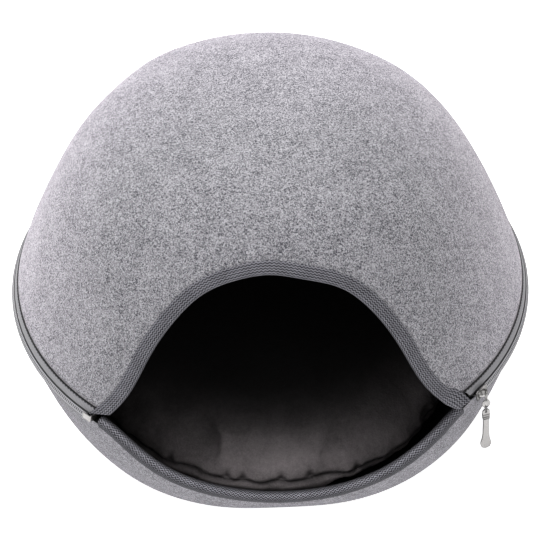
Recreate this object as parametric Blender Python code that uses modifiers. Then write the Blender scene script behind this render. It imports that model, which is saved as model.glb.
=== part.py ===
"""Felt cat cave: a moulded felt dome zipped all round onto a moulded felt bowl.

Metres, +Z up. The bound mouth faces -Y and the origin is the middle of the flat base. An azimuth is in
degrees from the front, positive towards +X.
"""

import math

import bmesh
import bpy
import numpy as np
from mathutils import Matrix, Vector

# Driving dimensions
GAP = 0.0003  # between touching pieces
FACETS = 0.0002  # allowance more where a woven tape lies over the facets of the felt
FELT = 0.0045  # thickness of both felt shells
ZIP_RADIUS = 0.200  # where the two tapes meet
ZIP_HEIGHT = 0.097

DOME_RADIUS = 0.1955  # outside of the dome at its foot
DOME_FOOT = 0.1058
DOME_TOP = 0.264
DOME_LEAN = math.radians(21.4)  # inward lean of the wall at the foot
DOME_SHOULDER = 0.1342  # handle lengths of the section's curve, at the foot and at the crown
DOME_CROWN = 0.1243

BOWL_BASE_RADIUS = 0.144  # edge of the flat base
BOWL_RIM_RADIUS = 0.1985
BOWL_RIM = 0.093
BOWL_LEAN = math.radians(7.4)  # inward lean of the wall below the rim
BOWL_FOOT = 0.0361  # handle lengths of the section's curve, at the base and at the rim
BOWL_WALL = 0.0504

# The soft bowl is a little out of round towards the front: share of its radius added at each azimuth.
BOWL_SWELL = (
    ("azimuth", "share"),
    (-100.0, 0.0),
    (-75.0, -0.0014),
    (-50.0, -0.0040),
    (-25.0, 0.0086),
    (0.0, -0.0134),
    (25.0, 0.0137),
    (50.0, 0.0085),
    (75.0, -0.0092),
    (100.0, 0.0),
)
SWELL_FADES = (0.055, 0.088)  # heights over which the swelling dies out towards the round rim

# The felt's cut edge over the mouth: height, then the azimuth where it stands on each side.
MOUTH_ARCH = (
    ("height", "left", "right"),
    (0.0980, -38.2, 41.8),
    (0.1130, -35.1, 38.3),
    (0.1310, -32.4, 35.2),
    (0.1600, -29.3, 31.9),
    (0.1850, -25.2, 27.9),
    (0.2060, -19.0, 21.5),
    (0.2180, -9.6, 9.9),
    (0.2217, 0.0, 0.0),
)

# The bowl's cut edge across the mouth, where it dips as a lip.
MOUTH_LIP = (
    ("azimuth", "height"),
    (-42.5, 0.0930),
    (-37.5, 0.0950),
    (-31.5, 0.0884),
    (-25.0, 0.0740),
    (-17.5, 0.0615),
    (-9.0, 0.0520),
    (1.0, 0.0470),
    (7.5, 0.0480),
    (15.0, 0.0525),
    (24.5, 0.0625),
    (32.0, 0.0725),
    (37.5, 0.0800),
    (42.0, 0.0885),
    (45.8, 0.0930),
)

BINDING = 0.0009  # thickness of the woven binding tape
BINDING_INSIDE = 0.0010  # clearance of its inner leaf, over the shells' inner facets
BINDING_FOLD = 0.0006  # clearance of its fold
ARCH_LEAF = 0.0080  # how far it reaches over the felt outside
LIP_LEAF = 0.0075
INNER_LEAF = 0.0105
BINDING_TURN = 0.018  # length over which its ends turn level along the zip

TAPE = 0.0008  # thickness of the zip's tapes
TAPE_REACH = 0.0012  # how far the lower tape comes down over the outside of the bowl's rim
ZIP_START = 45.8  # azimuths of the zip's two ends, the long way round
ZIP_END = 318.7
CHAIN_RADIUS = 0.0015
CHAIN_RING = 0.1973  # the coil lies inside, behind the meeting edges
CHAIN_START = 49.0

SLIDER_AZIMUTH = 49.2
SLIDER_TILT = math.radians(15)  # the slider faces this far above level
SLIDER_LENGTH = 0.0120
STOP_AZIMUTH = 318.8

# Slider, in its own frame: X along the zip, Y up the wall, Z out of it from the meeting line.
PLATE = (0.0014, 0.0026)
INSIDE_PLATE = (-0.0057, -0.0047)
CROWN_BAR = 0.0062  # height of the crown's bar over the meeting line, at its middle
CROWN_THICKNESS = 0.0009
CROWN_WIDTH = 0.0014
CROWN_LENGTH = 0.0082

# The link, ring and pull hang straight down from the crown's bar and are turned to this azimuth. Drops are
# measured from the middle of the bar.
HANG_FACING = 32.0
LOOP_DROP = 0.0020  # middle of the link's long loop
LOOP_HALF = (0.0018, 0.0044)  # half width and half height of its wire's centre line
LINK_DROP = 0.0103
LINK_HALF = (0.0032, 0.0044)
LINK_THICKNESS = 0.0012
LINK_HOLE_DROP = 0.0130
RING_DROP = 0.01585
RING_RADIUS = 0.0026
WIRE = 0.0005  # radius of the loop's and the ring's wire
HOLE_RADIUS = 0.00125
PULL_HOLE_DROP = 0.0187

# Pull: drop, half width and half thickness.
PULL = (
    ("drop", "half_width", "half_thickness"),
    (0.0167, 0.0013, 0.0007),
    (0.0178, 0.0024, 0.0008),
    (0.0195, 0.0028, 0.0008),
    (0.0230, 0.0026, 0.0010),
    (0.0270, 0.0023, 0.0011),
    (0.0400, 0.0023, 0.0011),
    (0.0500, 0.0029, 0.0010),
    (0.0560, 0.0039, 0.0009),
    (0.0593, 0.0042, 0.0008),
    (0.0618, 0.0033, 0.0007),
    (0.0629, 0.0013, 0.0005),
)

CUSHION_RADIUS = 0.158
CUSHION_CENTRE = (-0.005, -0.004)
CUSHION_UNDERSIDE = FELT + GAP
# Cushion section, from the crown over the seam to the underside: share of the radius, and height.
CUSHION = (
    ("share", "height"),
    (0.30, 0.0555),
    (0.58, 0.0530),
    (0.80, 0.0472),
    (0.93, 0.0405),
    (1.00, 0.0315),
    (1.01, 0.0225),
    (0.96, 0.0130),
    (0.88, 0.0070),
    (0.80, CUSHION_UNDERSIDE),
)
CUSHION_CROWN = 0.0560

# Mesh stations
RING_STATIONS = 45
ARCH_STATIONS = 29
LIP_STATIONS = 23
DOME_ROWS = 10
BOWL_ROWS = 7
EDGE_ROW = 0.036  # share of a shell's height taken by the narrow row at its cut edge
CORNER = 1.2  # degrees beyond each mouth corner to a narrow column, so that the corner's rim stays square
CUSHION_STATIONS = 40

COLLECTION = "cat_cave"
CUTTERS = "cutters"


# --- tables, curves and placing ---------------------------------------------


def rows(table):
    """The rows of a table under its line of column names, as an array."""
    return np.array(table[1:], float)


def spline(x, knots, values):
    """Natural cubic spline through the knots, read at x."""
    h = np.diff(knots)
    slopes = np.diff(values) / h
    system = np.eye(len(knots))
    right = np.zeros(len(knots))
    for i in range(1, len(knots) - 1):
        system[i, i - 1 : i + 2] = h[i - 1], 2 * (h[i - 1] + h[i]), h[i]
        right[i] = 6 * (slopes[i] - slopes[i - 1])
    bend = np.linalg.solve(system, right)
    i = np.clip(np.searchsorted(knots, x) - 1, 0, len(h) - 1)
    a = (knots[i + 1] - x) / h[i]
    b = 1 - a
    straight = a * values[i] + b * values[i + 1]
    return straight + ((a**3 - a) * bend[i] + (b**3 - b) * bend[i + 1]) * h[i] ** 2 / 6


def evenly(points, count):
    """Points at even steps along the polyline, ends included."""
    steps = np.linalg.norm(np.diff(points, axis=0), axis=1)
    along = np.concatenate([[0], np.cumsum(steps)])
    wanted = np.linspace(0, along[-1], count)
    return np.stack([np.interp(wanted, along, column) for column in points.T], axis=-1)


def around(azimuth, radius, height):
    """World points at an azimuth in degrees, a radius and a height."""
    angle = np.radians(azimuth)
    azimuth, radius, height = np.broadcast_arrays(angle, radius, height)
    return np.stack([radius * np.sin(azimuth), -radius * np.cos(azimuth), height], axis=-1)


def dome_section(count=600):
    """Radius and height up the dome's outside, from the foot to the crown, as one cubic curve."""
    t = np.linspace(0, 1, count)[:, None]
    foot = np.array([DOME_RADIUS, DOME_FOOT])
    shoulder = foot + DOME_SHOULDER * np.array([-math.sin(DOME_LEAN), math.cos(DOME_LEAN)])
    brow = np.array([DOME_CROWN, DOME_TOP])
    crown = np.array([0.0, DOME_TOP])
    curve = (1 - t) ** 3 * foot + 3 * (1 - t) ** 2 * t * shoulder
    curve = curve + 3 * (1 - t) * t**2 * brow + t**3 * crown
    return evenly(curve, count)


def dome_radius(azimuth, height):
    """Outer radius of the dome at a height; below the foot the wall runs on straight."""
    section = dome_section()
    below = DOME_RADIUS + (DOME_FOOT - height) * math.tan(DOME_LEAN)
    radius = np.where(height < DOME_FOOT, below, np.interp(height, section[:, 1], section[:, 0]))
    return radius + 0 * azimuth


def bowl_section(t):
    """Radius and height at shares of one cubic curve up the bowl's outside, from the base to the rim."""
    t = np.asarray(t)[..., None]
    base = np.array([BOWL_BASE_RADIUS, 0.0])
    turn = base + (BOWL_FOOT, 0.0)
    rim = np.array([BOWL_RIM_RADIUS, BOWL_RIM])
    wall = rim - BOWL_WALL * np.array([math.sin(BOWL_LEAN), math.cos(BOWL_LEAN)])
    return (1 - t) ** 3 * base + 3 * (1 - t) ** 2 * t * turn + 3 * (1 - t) * t**2 * wall + t**3 * rim


def bowl_swell(azimuth, height):
    """Factor on the bowl's radius for its unevenness, which fades smoothly towards the rim."""
    table = rows(BOWL_SWELL)
    azimuth = (azimuth + 180) % 360 - 180
    share = np.where(np.abs(azimuth) < 100, spline(azimuth, table[:, 0], table[:, 1]), 0)
    up = np.clip((height - SWELL_FADES[0]) / np.ptp(SWELL_FADES), 0, 1)
    return 1 + share * (1 - up**2 * (3 - 2 * up))


def bowl_radius(azimuth, height):
    """Outer radius of the bowl's wall at an azimuth and a height; above the rim it runs on straight."""
    section = bowl_section(np.linspace(0, 1, 600))
    radius = np.interp(height, section[:, 1], section[:, 0])
    above = np.maximum(height - BOWL_RIM, 0) * math.tan(BOWL_LEAN)
    return radius * bowl_swell(azimuth, height) + above


def arch_edge():
    """Azimuth and height along the cut edge over the mouth, left to right.

    The first and last station are at the binding's ends; the dome itself stops at the level of its foot.
    """
    table = rows(MOUTH_ARCH)
    azimuth = np.concatenate([table[:, 1], table[-2::-1, 2]])
    height = np.concatenate([table[:, 0], table[-2::-1, 0]])
    across = np.radians(azimuth) * DOME_RADIUS
    along = np.concatenate([[0], np.cumsum(np.hypot(np.diff(across), np.diff(height)))])
    fine = np.linspace(0, along[-1], 800)
    azimuth, height = spline(fine, along, azimuth), spline(fine, along, height)
    points = around(azimuth, dome_radius(azimuth, height), height)
    stations = evenly(points[height >= DOME_FOOT], ARCH_STATIONS)
    return azimuth_and_height(np.concatenate([points[:1], stations, points[-1:]]))


def lip_height(azimuth):
    """Height of the bowl's cut edge at an azimuth near the mouth."""
    table = rows(MOUTH_LIP)
    return spline(azimuth, table[:, 0], table[:, 1])


def lip_edge():
    """Azimuth and height along the bowl's cut edge, left to right, between the arch's two feet."""
    azimuth = np.linspace(*rows(MOUTH_ARCH)[0, 1:], 400)
    height = lip_height(azimuth)
    line = around(azimuth, bowl_radius(azimuth, height), height)
    return azimuth_and_height(evenly(line, LIP_STATIONS))


def azimuth_and_height(points):
    azimuth = np.degrees(np.arctan2(points[:, 0], -points[:, 1]))
    return np.stack([azimuth, points[:, 2]], axis=-1)


def ring_azimuths():
    """The azimuths that every piece along the zip is modelled at, so that their facets run together."""
    return np.linspace(ZIP_START, ZIP_END, RING_STATIONS)


def frame_at(azimuth, radius, height, tilt=0.0):
    """Frame on the zip: X along it, Y up the wall and Z out of it, leaning back by a tilt."""
    angle = math.radians(azimuth)
    outward = Vector((math.sin(angle), -math.cos(angle), 0.0))
    along = Vector((math.cos(angle), math.sin(angle), 0.0))
    facing = outward * math.cos(tilt) + Vector((0, 0, math.sin(tilt)))
    up = facing.cross(along)
    matrix = Matrix((along, up, facing)).transposed().to_4x4()
    matrix.translation = outward * radius + Vector((0, 0, height))
    return matrix


# --- objects and materials --------------------------------------------------


def clear_scene():
    for obj in list(bpy.data.objects):
        bpy.data.objects.remove(obj, do_unlink=True)


def collection(name):
    found = bpy.data.collections.get(name)
    if found is None:
        found = bpy.data.collections.new(name)
        bpy.context.scene.collection.children.link(found)
    return found


def material(name, colour, roughness, metallic=0.0):
    made = bpy.data.materials.new(name)
    made.use_nodes = True
    shader = made.node_tree.nodes["Principled BSDF"]
    shader.inputs["Base Color"].default_value = (*colour, 1.0)
    shader.inputs["Roughness"].default_value = roughness
    shader.inputs["Metallic"].default_value = metallic
    return made


def add_object(name, mesh, surface, place=None):
    """A smooth-shaded object of the part, with its material."""
    obj = bpy.data.objects.new(name, mesh)
    mesh.materials.append(surface)
    mesh.shade_smooth()
    mesh.set_sharp_from_angle(angle=math.radians(40))
    collection(COLLECTION).objects.link(obj)
    if place is not None:
        obj.matrix_world = place
    return obj


def add_cutter(name, mesh, place):
    """A helper that only a Boolean reads."""
    obj = bpy.data.objects.new(name, mesh)
    obj.matrix_world = place
    obj.hide_render = True
    obj.display_type = "WIRE"
    collection(CUTTERS).objects.link(obj)
    return obj


def thicken(obj, thickness, offset):
    """Gives an open surface its wall: offset -1 grows it behind the faces, 0 to both sides."""
    wall = obj.modifiers.new("wall", "SOLIDIFY")
    wall.thickness = thickness
    wall.offset = offset
    wall.use_even_offset = True
    wall.use_rim = True


def unite(obj, other):
    union = obj.modifiers.new("union " + other.name, "BOOLEAN")
    union.operation = "UNION"
    union.object = other


def sheet_mesh(name, grid, closed=False, pole=None, foot=None):
    """Faces over a grid of points, rows by columns. A pole closes the last row, and a foot the first."""
    row_count, column_count = grid.shape[:2]
    index = np.arange(row_count * column_count).reshape(row_count, column_count)
    following = np.roll(index, -1, axis=1)
    used = slice(None) if closed else slice(None, -1)
    corners = [index[:-1, used], following[:-1, used], following[1:, used], index[1:, used]]
    faces = np.stack(corners, axis=-1).reshape(-1, 4).tolist()
    points = grid.reshape(-1, 3).tolist()
    if pole is not None:
        points.append(list(pole))
        faces += [[a, b, len(points) - 1] for a, b in zip(index[-1], following[-1])]
    if foot is not None:
        points.append(list(foot))
        faces += [[b, a, len(points) - 1] for a, b in zip(index[0], following[0])]
    mesh = bpy.data.meshes.new(name)
    mesh.from_pydata(points, [], faces)
    mesh.update()
    return mesh


def box_mesh(name, low, high, bevel):
    """A box between two corners, with rounded edges."""
    model = bmesh.new()
    bmesh.ops.create_cube(model, size=1.0)
    size = np.subtract(high, low)
    bmesh.ops.scale(model, vec=size, verts=model.verts)
    bmesh.ops.translate(model, vec=np.add(low, size / 2), verts=model.verts)
    bmesh.ops.bevel(
        model, geom=model.edges[:], offset=bevel, segments=2, profile=0.5, affect="EDGES"
    )
    mesh = bpy.data.meshes.new(name)
    model.to_mesh(mesh)
    model.free()
    return mesh


def prism_mesh(name, outline, low, high):
    """A flat outline in X and Z, drawn out along Y."""
    model = bmesh.new()
    corners = [model.verts.new((x, low, z)) for x, z in outline]
    model.faces.new(corners)
    drawn = bmesh.ops.extrude_face_region(model, geom=model.faces[:])["geom"]
    moved = [item for item in drawn if isinstance(item, bmesh.types.BMVert)]
    bmesh.ops.translate(model, vec=(0, high - low, 0), verts=moved)
    bmesh.ops.recalc_face_normals(model, faces=model.faces)
    mesh = bpy.data.meshes.new(name)
    model.to_mesh(mesh)
    model.free()
    return mesh


def mesh_of_curve(name, points, radius, resolution, cyclic=False):
    """A round wire along the points, as one closed mesh."""
    curve = bpy.data.curves.new(name, "CURVE")
    curve.dimensions = "3D"
    curve.bevel_depth = radius
    curve.bevel_resolution = resolution
    curve.use_fill_caps = not cyclic
    line = curve.splines.new("POLY")
    line.points.add(len(points) - 1)
    line.points.foreach_set("co", np.column_stack([points, np.ones(len(points))]).ravel())
    line.use_cyclic_u = cyclic
    guide = bpy.data.objects.new(name, curve)
    bpy.context.scene.collection.objects.link(guide)
    graph = bpy.context.evaluated_depsgraph_get()
    mesh = bpy.data.meshes.new_from_object(guide.evaluated_get(graph))
    bpy.data.objects.remove(guide)
    model = bmesh.new()
    model.from_mesh(mesh)
    bmesh.ops.remove_doubles(model, verts=model.verts, dist=1e-6)
    model.to_mesh(mesh)
    model.free()
    return mesh


# --- felt shells ------------------------------------------------------------


def build_dome(felt):
    """The dome: columns rise from the mouth's arch, or from the level foot, and meet at the crown."""
    arch = arch_edge()[1:-1]
    beside = arch[[-1, 0], 0] + (CORNER, 360 - CORNER)
    ring = np.concatenate([beside[:1], ring_azimuths(), beside[1:]])
    azimuth = np.concatenate([arch[:, 0], ring])
    foot = np.concatenate([arch[:, 1], np.full(len(ring), DOME_FOOT)])
    section = dome_section()
    share = np.linspace(0, 1, len(section))
    start = np.interp(foot, section[:, 1], share)
    levels = np.concatenate([[0, EDGE_ROW], np.linspace(0, 1, DOME_ROWS)[1:-1]])
    at = start + (1 - start) * levels[:, None]
    radius = np.interp(at, share, section[:, 0])
    height = np.interp(at, share, section[:, 1])
    grid = around(azimuth, radius, height)
    mesh = sheet_mesh("dome_felt", grid, closed=True, pole=(0, 0, DOME_TOP))
    thicken(add_object("dome_felt", mesh, felt), FELT, -1)


def build_bowl(felt):
    """The bowl: a flat base, and a wall that rises to the rim, or to the lip across the mouth."""
    lip = lip_edge()
    beside = lip[[-1, 0], 0] + (CORNER, -CORNER)
    ring = np.concatenate([beside[:1], ring_azimuths(), beside[1:] + 360])
    azimuth = np.concatenate([lip[:, 0], ring])
    near = lip_height(beside)
    level = np.full(RING_STATIONS, BOWL_RIM)
    rim = np.concatenate([lip[:, 1], near[:1], level, near[1:]])
    share = np.linspace(0, 1, 600)
    top = np.interp(rim, bowl_section(share)[:, 1], share)
    levels = np.concatenate([np.linspace(0, 1, BOWL_ROWS)[:-1], [1 - EDGE_ROW, 1]])
    section = bowl_section(top * levels[:, None])
    height = section[..., 1]
    grid = around(azimuth, section[..., 0] * bowl_swell(azimuth, height), height)
    mesh = sheet_mesh("bowl_felt", grid, closed=True, foot=(0, 0, 0))
    thicken(add_object("bowl_felt", mesh, felt), FELT, -1)


# --- bindings ---------------------------------------------------------------


def on_wall(points, radius_of, out, level=0.0):
    """The points moved level onto the wall, then off it along its normal or, by the share given, level."""
    azimuth, height = np.degrees(np.arctan2(points[..., 0], -points[..., 1])), points[..., 2]
    step = 0.0005
    rise = radius_of(azimuth, height + step) - radius_of(azimuth, height - step)
    slope = rise / (2 * step)
    length = np.sqrt(1 + slope**2)
    outward = out * ((1 - level) / length + level * length)
    radius = radius_of(azimuth, height) + outward
    return around(azimuth, radius, height - (1 - level) * out * slope / length)


def binding_mesh(name, edge, radius_of, leaf, turning):
    """A tape folded over a cut edge: an outer leaf, the fold, and an inner leaf, along every station.

    Over the turning length at each end the tape turns level, along the zip and away from the mouth.
    """
    line = around(edge[:, 0], radius_of(*edge.T), edge[:, 1])
    along = np.gradient(line, axis=0)
    along /= np.linalg.norm(along, axis=1, keepdims=True)
    outward = on_wall(line, radius_of, 0.001) - line
    outward /= np.linalg.norm(outward, axis=1, keepdims=True)
    across = np.cross(outward, along)
    steps = np.linalg.norm(np.diff(line, axis=0), axis=1)
    run = np.concatenate([[0], np.cumsum(steps)])
    to_end = np.minimum(run, run[-1] - run)[:, None]
    turn = np.maximum(turning - to_end, 0) / BINDING_TURN
    level = around(edge[:, 0] + 90, 1.0, 0.0) * np.sign(edge[:, :1])
    turned = across * (1 - turn) + level * turn
    turned /= np.linalg.norm(turned, axis=1, keepdims=True)
    widen = np.minimum(1 / np.sum(turned * across, axis=1), 1.1)[:, None]
    off = GAP + FACETS + BINDING / 2
    fold = BINDING_FOLD + BINDING / 2
    inside = -(FELT + BINDING_INSIDE + BINDING / 2)
    section = (
        (leaf, off),
        (leaf / 2, off),
        (-fold, off),
        (-fold, inside),
        (INNER_LEAF / 2, inside),
        (INNER_LEAF, inside),
    )
    strips = [
        on_wall(line + turned * widen * reach, radius_of, out, turn[:, 0] ** 4)
        for reach, out in section
    ]
    return sheet_mesh(name, np.stack(strips))


def build_bindings(woven):
    """The woven tapes over the dome's arch and over the bowl's lip."""
    mesh = binding_mesh("arch_binding", arch_edge(), dome_radius, ARCH_LEAF, BINDING_TURN)
    thicken(add_object("arch_binding", mesh, woven), BINDING, 0)
    mesh = binding_mesh("lip_binding", lip_edge()[::-1], bowl_radius, LIP_LEAF, 0)
    thicken(add_object("lip_binding", mesh, woven), BINDING, 0)


# --- zip --------------------------------------------------------------------


def build_tapes(woven):
    """The two tapes, from the felt to the line where they meet.

    The upper one is sewn flat against the cut edge of the dome; the lower one lies over the outside of the
    bowl's rim.
    """
    off = GAP + FACETS + TAPE / 2
    down = np.array([math.sin(DOME_LEAN), -math.cos(DOME_LEAN)])
    inward = np.array([-math.cos(DOME_LEAN), -math.sin(DOME_LEAN)])
    crease = np.array([DOME_RADIUS, DOME_FOOT]) + down * off
    upper = (crease + inward * FELT * 1.1, crease, (ZIP_RADIUS - 0.0001, ZIP_HEIGHT + 0.0005))
    outside = BOWL_RIM_RADIUS + off
    lower = (
        (outside - TAPE_REACH * math.sin(BOWL_LEAN), BOWL_RIM - TAPE_REACH),
        (outside, BOWL_RIM + TAPE),
        (ZIP_RADIUS + 0.0001, ZIP_HEIGHT - 0.0008),
    )
    ring = ring_azimuths()
    for name, section in (("zip_tape_upper", upper), ("zip_tape_lower", lower)):
        grid = np.stack([around(ring, radius, height) for radius, height in section])
        thicken(add_object(name, sheet_mesh(name, grid), woven), TAPE, 0)


def build_chain(nylon):
    """The closed coil behind the meeting line, from inside the slider round to the stop."""
    ring = np.concatenate([[CHAIN_START], ring_azimuths()[1:]])
    points = around(ring, CHAIN_RING, ZIP_HEIGHT)
    add_object("zip_chain", mesh_of_curve("zip_chain", points, CHAIN_RADIUS, 1), nylon)


def build_slider(metal):
    """The slider: plates outside and inside, joined by a post between the tapes, and a crown on top."""
    place = frame_at(SLIDER_AZIMUTH, ZIP_RADIUS, ZIP_HEIGHT, SLIDER_TILT)
    half = SLIDER_LENGTH / 2
    outer = box_mesh("zip_slider", (-half, -0.0039, PLATE[0]), (half, 0.0039, PLATE[1]), 0.0004)
    body = add_object("zip_slider", outer, metal, place)
    low, high = (-half, -0.0020, INSIDE_PLATE[0]), (half, 0.0038, INSIDE_PLATE[1])
    unite(body, add_cutter("slider_inside", box_mesh("slider_inside", low, high, 0.0003), place))
    low, high = (-half + 0.0004, -0.00025, -0.0052), (-half + 0.0024, 0.00025, 0.0020)
    unite(body, add_cutter("slider_post", box_mesh("slider_post", low, high, 0.0001), place))
    unite(body, add_cutter("slider_crown", crown_mesh(), place))


def crown_mesh():
    """The crown: a strap that rises from the plate near one end and comes down near the other."""
    turn = np.linspace(0, math.pi, 11)
    arch = np.stack([np.cos(turn), np.sin(turn)], axis=-1)
    foot = PLATE[1] - 0.0003
    rise = CROWN_BAR - foot
    outer = arch * (CROWN_LENGTH / 2, rise + CROWN_THICKNESS / 2) + (0, foot)
    inner = arch * (CROWN_LENGTH / 2 - CROWN_THICKNESS, rise - CROWN_THICKNESS / 2) + (0, foot)
    outline = np.concatenate([outer, inner[::-1]])
    return prism_mesh("slider_crown", outline, -CROWN_WIDTH / 2, CROWN_WIDTH / 2)


def build_stop(metal):
    """The bottom stop: a clip folded round the end of the chain and tapes."""
    place = frame_at(STOP_AZIMUTH, ZIP_RADIUS, ZIP_HEIGHT, SLIDER_TILT)
    thick, end, reach = 0.0009, 0.0010, 0.0055
    outer, inner = 0.0022, -0.0055
    outline = (
        (-reach, outer),
        (end, outer),
        (end, inner),
        (-reach, inner),
        (-reach, inner + thick),
        (end - thick, inner + thick),
        (end - thick, outer - thick),
        (-reach, outer - thick),
    )
    mesh = prism_mesh("zip_stop", outline, -0.0018, 0.0030)
    add_object("zip_stop", mesh, metal, place)


def hanging_frame():
    """Frame at the middle of the crown's bar, upright and turned to the azimuth that the pull faces."""
    tilted = frame_at(SLIDER_AZIMUTH, ZIP_RADIUS, ZIP_HEIGHT, SLIDER_TILT)
    upright = frame_at(HANG_FACING, 0, 0)
    upright.translation = tilted @ Vector((0, 0, CROWN_BAR))
    return upright


def oval(half_width, half_height, count):
    turn = np.linspace(0, 2 * math.pi, count, endpoint=False)
    return np.stack([half_width * np.cos(turn), half_height * np.sin(turn)], axis=-1)


def plate_mesh(name, half_width, half_height, thickness, drop, count):
    """An oval plate that faces Z, centred at a drop below the bar."""
    outline = oval(half_width, half_height, count)
    mesh = prism_mesh(name, outline, -thickness / 2, thickness / 2)
    mesh.transform(Matrix.Translation((0, -drop, 0)) @ Matrix.Rotation(math.pi / 2, 4, "X"))
    return mesh


def side_loop_mesh(name, half_width, half_height, drop):
    """A wire loop that faces X, centred at a drop below the bar."""
    line = oval(half_width, half_height, 16)
    points = np.column_stack([np.zeros(16), line[:, 1] - drop, line[:, 0]])
    return mesh_of_curve(name, points, WIRE, 2, cyclic=True)


def drill(obj, drop, place):
    """A hole through Z at a drop below the bar."""
    drill_mesh = plate_mesh(obj.name + "_hole", HOLE_RADIUS, HOLE_RADIUS, 0.006, drop, 16)
    hole = obj.modifiers.new("hole", "BOOLEAN")
    hole.operation = "DIFFERENCE"
    hole.object = add_cutter(obj.name + "_hole", drill_mesh, place)


def build_link(metal):
    """The link: a long loop round the crown's bar, and an oval disc with a hole for the ring."""
    place = hanging_frame()
    disc = plate_mesh("zip_link", *LINK_HALF, LINK_THICKNESS, LINK_DROP, 24)
    link = add_object("zip_link", disc, metal, place)
    loop = side_loop_mesh("link_loop", *LOOP_HALF, LOOP_DROP)
    unite(link, add_cutter("link_loop", loop, place))
    drill(link, LINK_HOLE_DROP, place)


def build_ring(metal):
    """The small ring between the link and the pull, edge on to both."""
    mesh = side_loop_mesh("zip_ring", RING_RADIUS, RING_RADIUS, RING_DROP)
    add_object("zip_ring", mesh, metal, hanging_frame())


def build_pull(metal):
    """The pull: a holed head, a straight shank and a drop-shaped end, flat to the front."""
    place = hanging_frame()
    table = rows(PULL)
    drop = np.concatenate([table[:5, 0], np.linspace(table[5, 0], table[-1, 0], 8)])
    half_width = spline(drop, table[:, 0], table[:, 1])
    half_thickness = spline(drop, table[:, 0], table[:, 2])
    turn = np.linspace(0, 2 * math.pi, 16, endpoint=False)
    flat = 0.55  # power that squares an ellipse off
    x = half_width[:, None] * np.sign(np.cos(turn)) * np.abs(np.cos(turn)) ** flat
    z = -half_thickness[:, None] * np.sign(np.sin(turn)) * np.abs(np.sin(turn)) ** flat
    y = np.broadcast_to(-drop[:, None], x.shape)
    grid = np.stack([x, y, z], axis=-1)[::-1]
    foot, pole = (0, -drop[-1] - 0.0003, 0), (0, -drop[0] + 0.0003, 0)
    pull = add_object("zip_pull", sheet_mesh("zip_pull", grid, True, pole, foot), metal, place)
    drill(pull, PULL_HOLE_DROP, place)


# --- cushion ----------------------------------------------------------------


def build_cushion(plush):
    """The loose round cushion: crowned top, drawn in at its seam, fuller below, flat where it lies."""
    table = rows(CUSHION)
    azimuth = np.linspace(0, 360, CUSHION_STATIONS, endpoint=False)
    angle = np.radians(azimuth)
    uneven = 1 + 0.012 * np.cos(2 * angle + 0.6) + 0.008 * np.sin(3 * angle)
    radius = CUSHION_RADIUS * table[:, :1] * uneven
    grid = around(azimuth, radius, table[:, 1:])[::-1]
    grid = grid + (*CUSHION_CENTRE, 0)
    foot = (*CUSHION_CENTRE, CUSHION_UNDERSIDE)
    pole = (*CUSHION_CENTRE, CUSHION_CROWN)
    add_object("cushion", sheet_mesh("cushion", grid, True, pole, foot), plush)


def main():
    clear_scene()
    felt = material("grey felt", (0.33, 0.33, 0.36), 0.95)
    binding = material("woven binding", (0.095, 0.093, 0.11), 0.8)
    tape = material("zip tape", (0.27, 0.27, 0.28), 0.8)
    nylon = material("zip coil", (0.22, 0.22, 0.23), 0.5)
    nickel = material("nickel", (0.72, 0.70, 0.68), 0.22, 1.0)
    plush = material("dark plush", (0.055, 0.05, 0.052), 0.9)
    build_dome(felt)
    build_bowl(felt)
    build_bindings(binding)
    build_tapes(tape)
    build_chain(nylon)
    build_slider(nickel)
    build_stop(nickel)
    build_link(nickel)
    build_ring(nickel)
    build_pull(nickel)
    build_cushion(plush)


main()
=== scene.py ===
"""Felt cat cave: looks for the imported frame.

A moulded felt dome is zipped round onto a moulded felt bowl. Bound edges frame the mouth, and a loose plush
cushion lies inside. Lengths are metres, +Z is up and the mouth faces -Y. The origin is the middle of the
base. An azimuth is in degrees from the front, positive towards +X.
"""

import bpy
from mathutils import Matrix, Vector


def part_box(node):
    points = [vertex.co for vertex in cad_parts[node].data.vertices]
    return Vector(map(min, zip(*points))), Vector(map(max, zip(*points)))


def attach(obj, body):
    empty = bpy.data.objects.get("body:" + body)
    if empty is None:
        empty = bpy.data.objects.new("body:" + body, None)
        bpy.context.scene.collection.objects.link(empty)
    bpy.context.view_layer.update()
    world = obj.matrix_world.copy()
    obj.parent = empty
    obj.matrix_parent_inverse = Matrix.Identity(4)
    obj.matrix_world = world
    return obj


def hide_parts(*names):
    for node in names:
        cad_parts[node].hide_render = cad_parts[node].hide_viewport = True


bl_info = {
    "name": "Felt Cat Cave",
    "version": (1, 0, 0),
    "blender": (4, 5, 0),
    "location": "View3D > Sidebar > Cat Cave",
    "description": "Builds a zipped felt cat cave with bound mouth, metal zip fittings and cushion",
    "category": "Add Mesh",
}

import math

import bmesh
import bpy
import numpy as np
from bpy.props import FloatProperty, FloatVectorProperty, PointerProperty
from mathutils import Matrix, Vector

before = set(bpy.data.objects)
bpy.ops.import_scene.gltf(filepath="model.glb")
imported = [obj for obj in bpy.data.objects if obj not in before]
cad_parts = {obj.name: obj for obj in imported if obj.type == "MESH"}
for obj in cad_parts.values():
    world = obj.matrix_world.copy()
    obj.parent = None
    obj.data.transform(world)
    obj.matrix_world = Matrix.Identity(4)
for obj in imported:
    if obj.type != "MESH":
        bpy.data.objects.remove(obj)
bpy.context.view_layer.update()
BODY = "root"

# The ring where the two tapes meet
ZIP_RADIUS = 0.200
ZIP_HEIGHT = 0.097

# The dome's section is one cubic curve: it leaves the foot leaning in, with the shoulder as its first handle,
# and reaches the top level, with the crown as its second. The top is the solid's own.
DOME_RADIUS = 0.1955
DOME_FOOT = 0.1058
DOME_LEAN = math.radians(21.4)
DOME_SHOULDER = 0.1342
DOME_CROWN = 0.1243
DOME_TOP = float(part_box("dome_felt")[1][2])

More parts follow.
